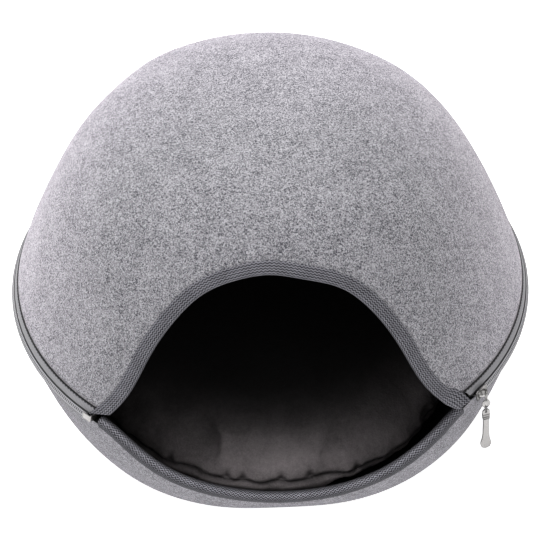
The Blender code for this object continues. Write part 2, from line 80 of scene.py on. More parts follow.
# The bowl's section is another: it leaves the base level, with the foot as its first handle, and reaches the
# rim leaning out, with the wall as its second. The rim's radius is the solid's own.
BOWL_BASE_RADIUS = 0.144
BOWL_FOOT = 0.0361
BOWL_WALL = 0.0504
BOWL_LEAN = math.radians(7.4)
BOWL_RIM = 0.093
BOWL_RIM_RADIUS = float(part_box("bowl_felt")[1][0])

# How far the bowl's wall swells from round, as a share of its radius, and the heights where that fades out
BOWL_SWELL = (
    ("azimuth", "share"),
    (-100.0, 0.0),
    (-75.0, -0.0014),
    (-50.0, -0.0040),
    (-25.0, 0.0086),
    (0.0, -0.0134),
    (25.0, 0.0137),
    (50.0, 0.0085),
    (75.0, -0.0092),
    (100.0, 0.0),
)
SWELL_FADES = (0.055, 0.088)

# The cut edge over the mouth: azimuths of its left and right at each height
MOUTH_ARCH = (
    ("height", "left", "right"),
    (0.0980, -38.2, 41.8),
    (0.1130, -35.1, 38.3),
    (0.1310, -32.4, 35.2),
    (0.1600, -29.3, 31.9),
    (0.1850, -25.2, 27.9),
    (0.2060, -19.0, 21.5),
    (0.2180, -9.6, 9.9),
    (0.2217, 0.0, 0.0),
)
# The cut edge under the mouth
MOUTH_LIP = (
    ("azimuth", "height"),
    (-42.5, 0.0930),
    (-37.5, 0.0968),
    (-31.5, 0.0850),
    (-25.0, 0.0704),
    (-17.5, 0.0586),
    (-9.0, 0.0500),
    (1.0, 0.0450),
    (7.5, 0.0460),
    (15.0, 0.0505),
    (24.5, 0.0608),
    (32.0, 0.0715),
    (37.5, 0.0800),
    (42.0, 0.0880),
    (45.8, 0.0918),
)
# Azimuths where that edge ends; past them the rim is level
LIP_ENDS = (-42.5, 45.8)

# Azimuths where the zip starts and ends, of its slider and of its stop
ZIP_START = 45.8
ZIP_END = 318.7
SLIDER_AZIMUTH = 48.6
STOP_AZIMUTH = 319.5
SLIDER_TILT = math.radians(15)

# The slider's crown stands off the ring, and the pull's group hangs from it, facing an azimuth and leaning
CROWN_BAR = 0.0062
HANG_FACING = 13.0
HANG_LEAN = math.radians(5.0)


# --- sizes and colours a user would change ----------------------------------


class CatCaveSizes(bpy.types.PropertyGroup):
    felt: FloatProperty(
        name="Felt", description="Thickness of both shells", default=0.0045, unit="LENGTH"
    )
    unevenness: FloatProperty(
        name="Unevenness", description="Depth of the moulded felt's soft dents", default=0.0007,
        unit="LENGTH",
    )
    arch_leaf: FloatProperty(
        name="Arch Binding", description="Reach of the binding over the dome", default=0.0080,
        unit="LENGTH",
    )
    lip_leaf: FloatProperty(
        name="Lip Binding", description="Reach of the binding over the bowl", default=0.0061,
        unit="LENGTH",
    )
    binding: FloatProperty(
        name="Binding Thickness", description="Thickness of the woven binding", default=0.0009,
        unit="LENGTH",
    )
    tape: FloatProperty(
        name="Zip Tape", description="Thickness of the zip's tapes", default=0.0008, unit="LENGTH"
    )
    coil_pitch: FloatProperty(
        name="Coil Pitch", description="Length of one turn of the coil", default=0.0014, unit="LENGTH"
    )
    cushion_swell: FloatProperty(
        name="Cushion Swell", description="Furthest the cushion's filling pushes a point", default=0.008,
        unit="LENGTH",
    )
    seam: FloatProperty(
        name="Cushion Seam", description="Depth of the seam round the cushion", default=0.0035,
        unit="LENGTH",
    )


def colour_property(name, description, default):
    return FloatVectorProperty(
        name=name, description=description, default=default, subtype="COLOR", size=3, min=0, max=1
    )


class CatCaveColours(bpy.types.PropertyGroup):
    felt_light: colour_property("Felt Light", "Pale fibres of the felt", (0.395, 0.388, 0.412))
    felt_dark: colour_property("Felt Dark", "Dark fibres of the felt", (0.045, 0.045, 0.055))
    # inside: near black as painted shade inside the cave; the inner faces are the same grey felt
    inside: colour_property("Inside", "Felt of the inner faces", (0.006, 0.006, 0.006))
    binding_light: colour_property("Binding Light", "Raised yarns of the binding", (0.18, 0.177, 0.198))
    binding_dark: colour_property("Binding Dark", "Gaps between its yarns", (0.012, 0.012, 0.016))
    tape: colour_property("Upper Zip Tape", "Woven tape on the dome's side", (0.205, 0.202, 0.214))
    # lower tape: the same tape as the upper one, brightened as painted light to make up for the shade it
    # faces
    lower_tape_painted_light: colour_property("Lower Zip Tape", "Woven tape on the bowl's side", (0.30, 0.296, 0.31))
    # coil: near black as painted shade in the gap between the tapes, where the coil sits
    coil: colour_property("Coil", "Nylon coil of the zip", (0.03, 0.03, 0.032))
    nickel: colour_property("Nickel", "Slider, link, ring, pull and stop", (0.30, 0.292, 0.288))
    plush_light: colour_property("Plush Light", "Tips of the cushion's pile", (0.125, 0.112, 0.115))
    plush_dark: colour_property("Plush Dark", "Roots of the cushion's pile", (0.05, 0.045, 0.046))
    floor: colour_property("Floor", "Pale floor", (0.93, 0.93, 0.93))


# --- curves, surfaces and frames --------------------------------------------


def rows(table):
    """The rows of a table under its line of column names, as an array."""
    return np.array(table[1:], float)


def spline(x, knots, values):
    """Natural cubic spline through the knots: its second derivatives solve one tridiagonal system."""
    h = np.diff(knots)
    slopes = np.diff(values) / h
    system = np.eye(len(knots))
    right = np.zeros(len(knots))
    for i in range(1, len(knots) - 1):
        system[i, i - 1 : i + 2] = h[i - 1], 2 * (h[i - 1] + h[i]), h[i]
        right[i] = 6 * (slopes[i] - slopes[i - 1])
    bend = np.linalg.solve(system, right)
    i = np.clip(np.searchsorted(knots, x) - 1, 0, len(h) - 1)
    a = (knots[i + 1] - x) / h[i]
    b = 1 - a
    straight = a * values[i] + b * values[i + 1]
    return straight + ((a**3 - a) * bend[i] + (b**3 - b) * bend[i + 1]) * h[i] ** 2 / 6


def lengths(points):
    """Length run along a polyline at each of its points: the running sum of its steps."""
    steps = np.linalg.norm(np.diff(points, axis=0), axis=1)
    return np.concatenate([[0], np.cumsum(steps)])


def evenly(points, count):
    """Points at even steps along the polyline, ends included."""
    along = lengths(points)
    wanted = np.linspace(0, along[-1], count)
    return np.stack([np.interp(wanted, along, column) for column in points.T], axis=-1)


def around(azimuth, radius, height):
    """Points on rings: (r sin a, -r cos a, z) at azimuth a in degrees."""
    azimuth, radius, height = np.broadcast_arrays(np.radians(azimuth), radius, height)
    return np.stack([radius * np.sin(azimuth), -radius * np.cos(azimuth), height], axis=-1)


def azimuth_of(points):
    return np.degrees(np.arctan2(points[..., 0], -points[..., 1]))


def smooth(x):
    """Cubic ease from 0 to 1 over x from 0 to 1."""
    x = np.clip(x, 0, 1)
    return x * x * (3 - 2 * x)


def dome_section(count=1200):
    """Radius and height up the dome's outside, as one cubic curve from the foot to the crown."""
    t = np.linspace(0, 1, count)[:, None]
    foot = np.array([DOME_RADIUS, DOME_FOOT])
    shoulder = foot + DOME_SHOULDER * np.array([-math.sin(DOME_LEAN), math.cos(DOME_LEAN)])
    brow = np.array([DOME_CROWN, DOME_TOP])
    crown = np.array([0.0, DOME_TOP])
    curve = (1 - t) ** 3 * foot + 3 * (1 - t) ** 2 * t * shoulder
    curve = curve + 3 * (1 - t) * t**2 * brow + t**3 * crown
    return evenly(curve, count)


SECTION = dome_section()


def dome_radius(azimuth, height):
    """Outer radius of the dome at a height: the section's, or a straight run on below its foot."""
    below = DOME_RADIUS + (DOME_FOOT - height) * math.tan(DOME_LEAN)
    radius = np.where(height < DOME_FOOT, below, np.interp(height, SECTION[:, 1], SECTION[:, 0]))
    return radius + 0 * azimuth


def bowl_section(t):
    """Radius and height at shares t of one cubic curve up the bowl's outside, from the base to the rim."""
    t = np.asarray(t)[..., None]
    base = np.array([BOWL_BASE_RADIUS, 0.0])
    turn = base + (BOWL_FOOT, 0.0)
    rim = np.array([BOWL_RIM_RADIUS, BOWL_RIM])
    wall = rim - BOWL_WALL * np.array([math.sin(BOWL_LEAN), math.cos(BOWL_LEAN)])
    return (1 - t) ** 3 * base + 3 * (1 - t) ** 2 * t * turn + 3 * (1 - t) * t**2 * wall + t**3 * rim


def bowl_swell(azimuth, height):
    """Factor on the bowl's radius: one plus the table's share as a spline of the azimuth, eased to nothing
    towards the rim."""
    table = rows(BOWL_SWELL)
    azimuth = (azimuth + 180) % 360 - 180
    share = np.where(np.abs(azimuth) < 100, spline(azimuth, table[:, 0], table[:, 1]), 0)
    return 1 + share * (1 - smooth((height - SWELL_FADES[0]) / np.ptp(SWELL_FADES)))


def bowl_radius(azimuth, height):
    """Outer radius of the bowl's wall at an azimuth and a height; above the rim it runs on straight."""
    section = bowl_section(np.linspace(0, 1, 1200))
    radius = np.interp(height, section[:, 1], section[:, 0])
    above = np.maximum(height - BOWL_RIM, 0) * math.tan(BOWL_LEAN)
    return radius * bowl_swell(azimuth, height) + above


def lip_height(azimuth):
    table = rows(MOUTH_LIP)
    return spline(azimuth, table[:, 0], table[:, 1])


def arch_line(count=900):
    """Fine points along the cut edge over the mouth, left to right: the table's azimuths and heights as
    splines of the distance run."""
    table = rows(MOUTH_ARCH)
    azimuth = np.concatenate([table[:, 1], table[-2::-1, 2]])
    height = np.concatenate([table[:, 0], table[-2::-1, 0]])
    across = np.radians(azimuth) * DOME_RADIUS
    along = lengths(np.column_stack([across, height]))
    fine = np.linspace(0, along[-1], count)
    azimuth, height = spline(fine, along, azimuth), spline(fine, along, height)
    return around(azimuth, dome_radius(azimuth, height), height)


def lip_line(beyond=0.0, count=900):
    """Fine points along the bowl's cut edge across the mouth, left to right, and some degrees beyond."""
    left, right = rows(MOUTH_ARCH)[0, 1:]
    azimuth = np.linspace(left, right + beyond, count)
    height = lip_height(azimuth)
    return around(azimuth, bowl_radius(azimuth, height), height)


def frame_at(azimuth, radius, height, tilt=0.0):
    """Frame on the zip: X along it, Y up the wall and Z out of it, leaning back by a tilt."""
    angle = math.radians(azimuth)
    outward = Vector((math.sin(angle), -math.cos(angle), 0.0))
    along = Vector((math.cos(angle), math.sin(angle), 0.0))
    facing = outward * math.cos(tilt) + Vector((0, 0, math.sin(tilt)))
    matrix = Matrix((along, facing.cross(along), facing)).transposed().to_4x4()
    matrix.translation = outward * radius + Vector((0, 0, height))
    return matrix


def placed(points, place):
    """Points given in a frame, as world points: rotated by its axes and moved to its origin."""
    matrix = np.array(place)
    return points @ matrix[:3, :3].T + matrix[:3, 3]


# --- meshes -----------------------------------------------------------------


def grid_faces(row_count, column_count, wrap, offset=0):
    """Corner indices of the quads of a grid, and the same with the columns left unwrapped."""
    columns = column_count if wrap else column_count - 1
    row, column = np.meshgrid(np.arange(row_count - 1), np.arange(columns), indexing="ij")
    row, column = row.ravel(), column.ravel()
    corners = [(row, column), (row, column + 1), (row + 1, column + 1), (row + 1, column)]
    faces = np.stack([r * column_count + c % column_count for r, c in corners], axis=-1)
    flat = np.stack([r * (column_count + 1) + c for r, c in corners], axis=-1)
    return faces + offset, flat


def mesh_from(name, points, faces, uv=None):
    """A mesh from arrays. Faces may be several arrays of different width; uv is one row per corner."""
    mesh = bpy.data.meshes.new(name)
    blocks = faces if isinstance(faces, list) else [faces]
    corners = np.concatenate([block.ravel() for block in blocks]).astype(np.int32)
    sizes = np.concatenate([np.full(len(block), block.shape[1]) for block in blocks])
    starts = np.concatenate([[0], np.cumsum(sizes)[:-1]]).astype(np.int32)
    mesh.vertices.add(len(points))
    mesh.vertices.foreach_set("co", np.asarray(points, np.float32).ravel())
    mesh.loops.add(len(corners))
    mesh.loops.foreach_set("vertex_index", corners)
    mesh.polygons.add(len(sizes))
    mesh.polygons.foreach_set("loop_start", starts)
    if uv is not None:
        layer = mesh.uv_layers.new(name="UVMap")
        layer.data.foreach_set("uv", np.asarray(uv, np.float32).ravel())
    mesh.update(calc_edges=True)
    mesh.validate()
    return mesh


def sheet(name, grid, wrap=False, pole=None, foot=None, uv=None):
    """Mesh over a grid of points, rows by columns. A pole closes the last row and a foot the first. uv is a
    grid too, one column wider than the points where they wrap."""
    row_count, column_count = grid.shape[:2]
    faces, flat = grid_faces(row_count, column_count, wrap)
    blocks, points = [faces], [grid.reshape(-1, 3)]
    index = np.arange(row_count * column_count).reshape(row_count, column_count)
    following = np.roll(index, -1, axis=1)
    total = row_count * column_count
    for tip, ring, after in ((pole, index[-1], following[-1]), (foot, following[0], index[0])):
        if tip is not None:
            blocks.append(np.stack([ring, after, np.full(len(ring), total)], axis=-1))
            points.append(np.array([tip]))
            total += 1
    corner_uv = None
    if uv is not None:
        if not wrap:
            uv = np.concatenate([uv, uv[:, -1:]], axis=1)
        corner_uv = uv.reshape(-1, 2)[flat].reshape(-1, 2)
        extra = sum(block.size for block in blocks[1:])
        corner_uv = np.concatenate([corner_uv, np.zeros((extra, 2))])
    return mesh_from(name, np.concatenate(points), blocks, corner_uv)


def sweep(path, section, normals, closed=False):
    """A section carried along a path. Each section point is (side, out): out runs along the normal given at
    that station, side along the cross product of the normal and the path's direction."""
    if closed:
        direction = np.roll(path, -1, axis=0) - np.roll(path, 1, axis=0)
    else:
        direction = np.gradient(path, axis=0)
    direction /= np.linalg.norm(direction, axis=1, keepdims=True)
    normals = normals - direction * np.sum(normals * direction, axis=1, keepdims=True)
    normals /= np.linalg.norm(normals, axis=1, keepdims=True)
    side = np.cross(normals, direction)
    section = np.asarray(section)
    return path[:, None] + side[:, None] * section[:, :1] + normals[:, None] * section[:, 1:]


def full_turn(count):
    return np.linspace(0, 2 * math.pi, count, endpoint=False)


def circle(radius, count):
    turn = full_turn(count)
    return np.stack([radius * np.cos(turn), radius * np.sin(turn)], axis=-1)


def wire_ring(name, path, radius, normals, sides=12):
    """A closed round wire: a circle carried along the path, whose last ring joins the first."""
    rings = sweep(path, circle(radius, sides), normals, closed=True)
    faces, _ = grid_faces(len(path) + 1, sides, True)
    return mesh_from(name, rings.reshape(-1, 3), faces % (len(path) * sides))


def bar(name, rings, place, ends):
    """A closed bar: its rings of points and the two points its ends close at, set in a frame."""
    foot, pole = placed(np.array(ends), place)
    return outward_faces(sheet(name, placed(rings, place), wrap=True, foot=foot, pole=pole))


def squared(wave, power):
    """A sine or cosine made squarer: its size to a power below one, with its sign kept."""
    return np.sign(wave) * np.abs(wave) ** power


def superellipse(turn, half_width, half_height, powers):
    """The outline with those half sizes, squarer the lower its two powers are."""
    width, height = squared(np.cos(turn), powers[0]), squared(np.sin(turn), powers[1])
    return np.stack([half_width * width, half_height * height], axis=-1)


def repeated(name, points, faces, places):
    """One small shape set down many times. places is an array of 4 by 4 matrices."""
    rotated = np.einsum("nij,pj->npi", places[:, :3, :3], points) + places[:, None, :3, 3]
    shifts = np.arange(len(places))[:, None, None] * len(points)
    blocks = [(block + shifts).reshape(-1, block.shape[1]) for block in faces]
    return mesh_from(name, rotated.reshape(-1, 3), blocks)


def linked(name, data):
    """An object with the data given, in the scene."""
    obj = bpy.data.objects.new(name, data)
    bpy.context.scene.collection.objects.link(obj)
    return obj


def finished(obj):
    """A new mesh: the object's own with its modifiers applied."""
    graph = bpy.context.evaluated_depsgraph_get()
    return bpy.data.meshes.new_from_object(obj.evaluated_get(graph))


def add_piece(name, mesh, material, nodes=(), smooth_angle=50):
    """A finished piece: it rides on the body, stands for the CAD nodes named and takes its slot. Edges
    sharper than the smooth angle stay sharp."""
    obj = linked(name, mesh)
    materials = material if isinstance(material, (list, tuple)) else [material]
    for each in materials:
        mesh.materials.append(each)
    mesh.shade_smooth()
    if smooth_angle < 180:
        mesh.set_sharp_from_angle(angle=math.radians(smooth_angle))
    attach(obj, BODY)
    if nodes:
        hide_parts(*nodes)
    return obj


def thicken(obj, thickness, offset, inner_slot=0):
    """Gives an open surface its wall: offset -1 grows it behind the faces, 0 to both sides. The inner slot is
    the material of the new faces and of the cut edge."""
    wall = obj.modifiers.new("Wall", "SOLIDIFY")
    wall.thickness = thickness
    wall.offset = offset
    wall.use_even_offset = True
    wall.use_rim = True
    wall.material_offset = inner_slot
    wall.material_offset_rim = inner_slot


def outward_faces(mesh):
    """Merges doubles and turns every face of a closed mesh outwards."""
    model = bmesh.new()
    model.from_mesh(mesh)
    bmesh.ops.remove_doubles(model, verts=model.verts, dist=1e-7)
    bmesh.ops.recalc_face_normals(model, faces=model.faces)
    model.to_mesh(mesh)
    model.free()
    return mesh


# --- shader groups ----------------------------------------------------------


class Tree:
    """A node tree with short calls for adding and joining nodes."""

    def __init__(self, tree):
        self.tree = tree
        self.column = 0

    def node(self, kind, inputs=None, **settings):
        made = self.tree.nodes.new(kind)
        self.column += 1
        made.location = (self.column * 190, -(self.column % 4) * 180)
        for key, value in settings.items():
            setattr(made, key, value)
        for key, value in (inputs or {}).items():
            self.feed(made.inputs[key], value)
        return made

    def feed(self, socket, value):
        if isinstance(value, bpy.types.NodeSocket):
            self.tree.links.new(value, socket)
        else:
            socket.default_value = value

    def math(self, operation, a, b=0.0, c=0.0):
        made = self.node("ShaderNodeMath", operation=operation)
        for socket, value in zip(made.inputs, (a, b, c)):
            self.feed(socket, value)
        return made.outputs[0]

    def noise(self, vector, scale, detail=2.0, roughness=0.5, distortion=0.0):
        made = self.node(
            "ShaderNodeTexNoise",
            {
                "Vector": vector,
                "Scale": scale,
                "Detail": detail,
                "Roughness": roughness,
                "Distortion": distortion,
            },
        )
        return made.outputs["Fac"]

    def ramp(self, value, low, high, to_low=0.0, to_high=1.0):
        """A value mapped from low..high to to_low..to_high, held at both ends."""
        made = self.node("ShaderNodeMapRange", {"Value": value}, clamp=True)
        for key, number in (
            ("From Min", low),
            ("From Max", high),
            ("To Min", to_low),
            ("To Max", to_high),
        ):
            self.feed(made.inputs[key], number)
        return made.outputs["Result"]

    def mix(self, factor, a, b):
        made = self.node("ShaderNodeMix", data_type="RGBA")
        self.feed(made.inputs[0], factor)
        self.feed(made.inputs[6], a)
        self.feed(made.inputs[7], b)
        return made.outputs[2]

    def off(self, value, middle):
        """How far a value is from a middle, either way."""
        return self.math("ABSOLUTE", self.math("SUBTRACT", value, middle))

    def add_about(self, value, share, base, middle=0.5):
        """The base plus a share of how far the value is over its middle."""
        return self.math("MULTIPLY_ADD", self.math("SUBTRACT", value, middle), share, base)

    def wave(self, value, length):
        """Sine of a distance, one turn in each length."""
        return self.math("SINE", self.math("MULTIPLY", value, 2 * math.pi / length))

    def split(self, vector):
        return self.node("ShaderNodeSeparateXYZ", {"Vector": vector}).outputs

    def facing(self):
        """Nothing where the surface faces the eye and one at its silhouette; the felt's painted sheen and the
        metal's painted reflection are made from it.
        """
        return self.node("ShaderNodeLayerWeight", {"Blend": 0.5}).outputs["Facing"]

    def shade(self, colour, factor):
        """A colour times a grey value."""
        made = self.node("ShaderNodeVectorMath", operation="SCALE")
        self.feed(made.inputs[0], colour if isinstance(colour, bpy.types.NodeSocket) else colour[:3])
        self.feed(made.inputs["Scale"], factor)
        return made.outputs[0]


def shader_group(name, inputs, outputs, fill):
    """A node group with named sockets, built once. fill gets the tree and its input sockets, and gives back
    the sockets for the outputs."""
    found = bpy.data.node_groups.get(name)
    if found is not None:
        return found
    made = bpy.data.node_groups.new(name, "ShaderNodeTree")
    for label, kind, *default in inputs:
        socket = made.interface.new_socket(name=label, in_out="INPUT", socket_type=kind)
        if default:
            socket.default_value = default[0]
    for label, kind in outputs:
        made.interface.new_socket(name=label, in_out="OUTPUT", socket_type=kind)
    tree = Tree(made)
    source = tree.node("NodeGroupInput")
    sink = tree.node("NodeGroupOutput")
    results = fill(tree, source.outputs)
    for label, socket in results.items():
        made.links.new(socket, sink.inputs[label])
    return made


FLOAT, COLOUR, VECTOR = "NodeSocketFloat", "NodeSocketColor", "NodeSocketVector"
STITCH_PITCH = 0.0032
CREASE_HEIGHT = 0.1035  # height of the painted crease shade on the felt, between the felt and the zip


def felt_group():
    """Needled felt of pale and dark fibres on Object coordinates.

    The mix between the two colours is half, plus slow patches, mottling, a strong grain a little over a
    millimetre wide and a finer one. Short dark and pale fibres lie where a distorted noise crosses its middle
    value, and only where a second noise is high, which breaks the curled lines into short pieces."""

    def fill(tree, given):
        at = given["Vector"]
        patch = tree.noise(at, 46.0, 2.0, 0.5)
        mottle = tree.noise(at, 175.0, 2.0, 0.55, 0.4)
        grain = tree.noise(at, 980.0, 1.0, 0.55, 0.9)
        fine = tree.noise(at, 1700.0, 1.0, 0.6, 0.4)
        value = tree.add_about(patch, given["Patches"], 0.5)
        value = tree.add_about(mottle, given["Mottle"], value)
        value = tree.add_about(grain, given["Grain"], value)
        value = tree.add_about(fine, given["Fine"], value)
        colour = tree.mix(tree.ramp(value, 0.0, 1.0), given["Dark"], given["Light"])
        line = tree.off(tree.noise(at, 390.0, 1.0, 0.5, 2.4), 0.5)
        where = tree.ramp(tree.noise(at, 330.0, 2.0, 0.6), 0.5, 0.6)
        dark = tree.math("MULTIPLY", tree.ramp(line, 0.008, 0.034, 1.0, 0.0), where)
        line = tree.off(tree.noise(at, 450.0, 1.0, 0.5, 2.8), 0.53)
        where = tree.ramp(tree.noise(at, 290.0, 2.0, 0.6), 0.52, 0.62)
        pale = tree.math("MULTIPLY", tree.ramp(line, 0.006, 0.028, 0.8, 0.0), where)
        colour = tree.mix(tree.math("MULTIPLY", dark, given["Fibres"]), colour, given["Dark"])
        colour = tree.mix(tree.math("MULTIPLY", pale, given["Fibres"]), colour, given["Light"])
        height = tree.math("MULTIPLY_ADD", grain, 0.8, tree.math("MULTIPLY", mottle, 0.4))
        height = tree.math("MULTIPLY_ADD", fine, 0.4, height)
        height = tree.math("SUBTRACT", height, tree.math("MULTIPLY", dark, 0.2))
        return {"Colour": colour, "Height": height, "Value": value}

    return shader_group(
        "Needled Felt",
        (
            ("Vector", VECTOR),
            ("Light", COLOUR, (0.4, 0.4, 0.4, 1)),
            ("Dark", COLOUR, (0.1, 0.1, 0.1, 1)),
            ("Patches", FLOAT, 0.32),
            ("Mottle", FLOAT, 0.55),
            ("Grain", FLOAT, 3.1),
            ("Fine", FLOAT, 2.1),
            ("Fibres", FLOAT, 0.5),
        ),
        (("Colour", COLOUR), ("Height", FLOAT), ("Value", FLOAT)),
        fill,
    )


def weave_group():
    """Zigzag weave on the piece's own UVs, which are metres along and across it.

    Rows of raised yarn run along the tape. Each row is the size of a sine of the place across it, and a
    second sine along the tape shifts that place, so that the rows run in zigzags. Noise makes the yarn
    uneven. Near the fold, at a distance from the tape's outer edge, the raised yarns are paler: a painted
    highlight along the top of the fold. Face is the brightness of the leaf before the fold; below one it is
    painted shade where that leaf faces down and out."""

    def fill(tree, given):
        along, across, _ = tree.split(given["Vector"])
        wobble = tree.math("SUBTRACT", tree.noise(given["Vector"], 260.0, 2.0), 0.5)
        wobble = tree.math("MULTIPLY", wobble, given["Wobble"])
        along = tree.math("ADD", along, wobble)
        across = tree.math("ADD", across, tree.math("MULTIPLY", wobble, 0.5))
        turns = tree.math("MULTIPLY", tree.math("DIVIDE", along, given["Pitch"]), 2 * math.pi)
        row = tree.math("DIVIDE", across, given["Row"])
        row = tree.math("MULTIPLY_ADD", tree.math("SINE", turns), given["Slant"], row)
        yarn = tree.math("ABSOLUTE", tree.math("SINE", tree.math("MULTIPLY", row, math.pi)))
        shaded = tree.add_about(tree.noise(given["Vector"], 700.0, 3.0, 0.7), 1.2, yarn)
        colour = tree.mix(tree.ramp(shaded, 0.35, 0.95), given["Dark"], given["Light"])
        from_fold = tree.math("SUBTRACT", across, given["Fold"])
        # painted highlight: raised yarns paler along the fold; painted shade: Face on the leaf before it
        pale = tree.ramp(tree.math("ABSOLUTE", from_fold), 0.0012, 0.0024, 1.0, 0.0)
        lift = tree.math("MULTIPLY", tree.math("MULTIPLY", pale, tree.ramp(shaded, 0.45, 0.9)), 0.8)
        face = tree.ramp(from_fold, -0.0008, 0.0004, given["Face"], 1.0)
        colour = tree.shade(colour, tree.math("MULTIPLY", tree.math("ADD", lift, 1.0), face))
        return {"Colour": colour, "Height": yarn}

    return shader_group(
        "Zigzag Weave",
        (
            ("Vector", VECTOR),
            ("Light", COLOUR, (0.2, 0.2, 0.2, 1)),
            ("Dark", COLOUR, (0.05, 0.05, 0.05, 1)),
            ("Pitch", FLOAT, 0.0017),
            ("Row", FLOAT, 0.0016),
            ("Slant", FLOAT, 0.3),
            ("Wobble", FLOAT, 0.0003),
            ("Fold", FLOAT, -1.0),
            ("Face", FLOAT, 1.0),
        ),
        (("Colour", COLOUR), ("Height", FLOAT)),
        fill,
    )


def zip_tape_group():
    """The face of a zip tape on its own UVs, which are metres along and across it.

    Fine ribs cross the tape at one pitch. Ticks of a ladder stitch cross a band at a given distance from its
    first edge. Two thin lines at given distances and everything before the crease are darkened as painted
    shade: the shadow of the gap between the tapes, of the tape's edge and of the crease under the felt.
    Stitches sew the crease's edge into short steps."""

    def fill(tree, given):
        along, across, _ = tree.split(given["Vector"])
        rib = tree.wave(along, 0.0014)
        cloth = tree.ramp(tree.noise(given["Vector"], 1500.0, 2.0), 0.3, 0.7, 0.88, 1.12)
        value = tree.math("MULTIPLY_ADD", rib, 0.15, cloth)
        tick = tree.ramp(tree.wave(along, 0.0018), -0.2, 0.4)
        band = tree.ramp(tree.off(across, given["Ladder"]), 0.0008, 0.0011, 1.0, 0.0)
        shade = tree.math("MULTIPLY_ADD", tree.math("MULTIPLY", band, tick), -0.8, 1.0)
        # painted shade: the dark lines of the gap between the tapes and of the tape's edge
        for label in ("Line A", "Line B"):
            line = tree.ramp(tree.off(across, given[label]), 0.00022, 0.00055, 0.08, 1.0)
            shade = tree.math("MULTIPLY", shade, line)
        # painted shade before the crease, under the felt's edge, stepped by the stitches
        stitch = tree.ramp(tree.wave(along, STITCH_PITCH), -0.1, 0.3)
        crease = tree.math("MULTIPLY_ADD", stitch, 0.0005, given["Crease"])
        beyond = tree.ramp(tree.math("SUBTRACT", across, crease), 0, 0.0006, 0.05, 1.0)
        shade = tree.math("MULTIPLY", shade, beyond)
        height = tree.math("MULTIPLY", tree.math("MULTIPLY_ADD", rib, 0.3, shade), 0.7)
        return {"Value": tree.math("MULTIPLY", value, shade), "Height": height}

    return shader_group(
        "Zip Tape Face",
        (
            ("Vector", VECTOR),
            ("Crease", FLOAT, -1.0),
            ("Ladder", FLOAT, -1.0),
            ("Line A", FLOAT, -1.0),
            ("Line B", FLOAT, -1.0),
        ),
        (("Value", FLOAT), ("Height", FLOAT)),
        fill,
    )


def wear_group():
    """Handling marks: a mask of smudges and fine scratches, from stretched and plain noise."""

    def fill(tree, given):
        at = given["Vector"]
        smudge = tree.ramp(tree.noise(at, given["Scale"], 4.0, 0.6), 0.35, 0.7)
        mapping = tree.node("ShaderNodeMapping", {"Vector": at, "Scale": (1.0, 1.0, 0.06)})
        scratch = tree.ramp(tree.noise(mapping.outputs[0], 5200.0, 3.0, 0.7), 0.45, 0.75)
        mask = tree.math("MULTIPLY_ADD", scratch, 0.4, tree.math("MULTIPLY", smudge, 0.6))
        return {"Mask": mask, "Height": scratch}

    return shader_group(
        "Handling Wear",
        (("Vector", VECTOR), ("Scale", FLOAT, 300.0)),
        (("Mask", FLOAT), ("Height", FLOAT)),
        fill,
    )


# --- materials --------------------------------------------------------------


def rgba(colour):
    return (*colour, 1.0)


def new_material(name, roughness, specular=0.5, metallic=0.0, sheen=(0.0, 0.5, (1, 1, 1))):
    """A material with its Principled shader's constants set: sheen is its weight, roughness and tint. The
    tree and the shader come back as None if the material is there already."""
    made = bpy.data.materials.get(name)
    if made is not None:
        return made, None, None
    made = bpy.data.materials.new(name)
    made.use_nodes = True
    shader = made.node_tree.nodes["Principled BSDF"]
    for label, value in (
        ("Roughness", roughness),
        ("Specular IOR Level", specular),
        ("Metallic", metallic),
        ("Sheen Weight", sheen[0]),
        ("Sheen Roughness", sheen[1]),
        ("Sheen Tint", rgba(sheen[2])),
    ):
        shader.inputs[label].default_value = value
    return made, Tree(made.node_tree), shader


def group_node(tree, group, inputs):
    return tree.node("ShaderNodeGroup", inputs, node_tree=group).outputs


def finish(tree, shader, colour, roughness, height, strength, distance):
    """Joins a colour, a roughness and a height to the shader, the height through a bump."""
    bump = tree.node("ShaderNodeBump", {"Height": height, "Strength": strength, "Distance": distance})
    tree.feed(shader.inputs["Base Color"], colour)
    tree.feed(shader.inputs["Roughness"], roughness)
    tree.feed(shader.inputs["Normal"], bump.outputs["Normal"])


def felt_material(name, light, dark, sheen, painted_sheen=(1, 1, 1), stretch=(1, 1, 1)):
    """Needled felt, times a painted sheen's colour where the surface turns away from the eye, and darkened by
    painted shade in the zip's crease.
    """
    made, tree, shader = new_material(name, 0.95, 0.25, sheen=(sheen, 0.45, (1.0, 0.955, 0.975)))
    if tree is None:
        return made
    at = tree.node("ShaderNodeTexCoord").outputs["Object"]
    mapping = tree.node("ShaderNodeMapping", {"Vector": at, "Scale": stretch})
    colours = {"Light": rgba(light), "Dark": rgba(dark)}
    felt = group_node(tree, felt_group(), {"Vector": mapping.outputs[0], "Fibres": 0.6, **colours})
    # painted sheen: the felt's colour times the painted sheen's colour, blended in towards the silhouette
    pale = tree.node("ShaderNodeVectorMath", {0: felt["Colour"], 1: painted_sheen}, operation="MULTIPLY")
    colour = tree.mix(tree.ramp(tree.facing(), 0.30, 0.95), felt["Colour"], pale.outputs[0])
    # painted shade: the felt darkens to 0.12 of its colour near the crease height, where the zip tucks under
    # it
    painted_crease_shade = tree.ramp(tree.off(tree.split(at)["Z"], CREASE_HEIGHT), 0.0021, 0.0044, 0.12, 1.0)
    roughness = tree.ramp(felt["Value"], 0.0, 1.0, 0.98, 0.86)
    finish(tree, shader, tree.shade(colour, painted_crease_shade), roughness, felt["Height"], 0.55, 0.0012)
    return made


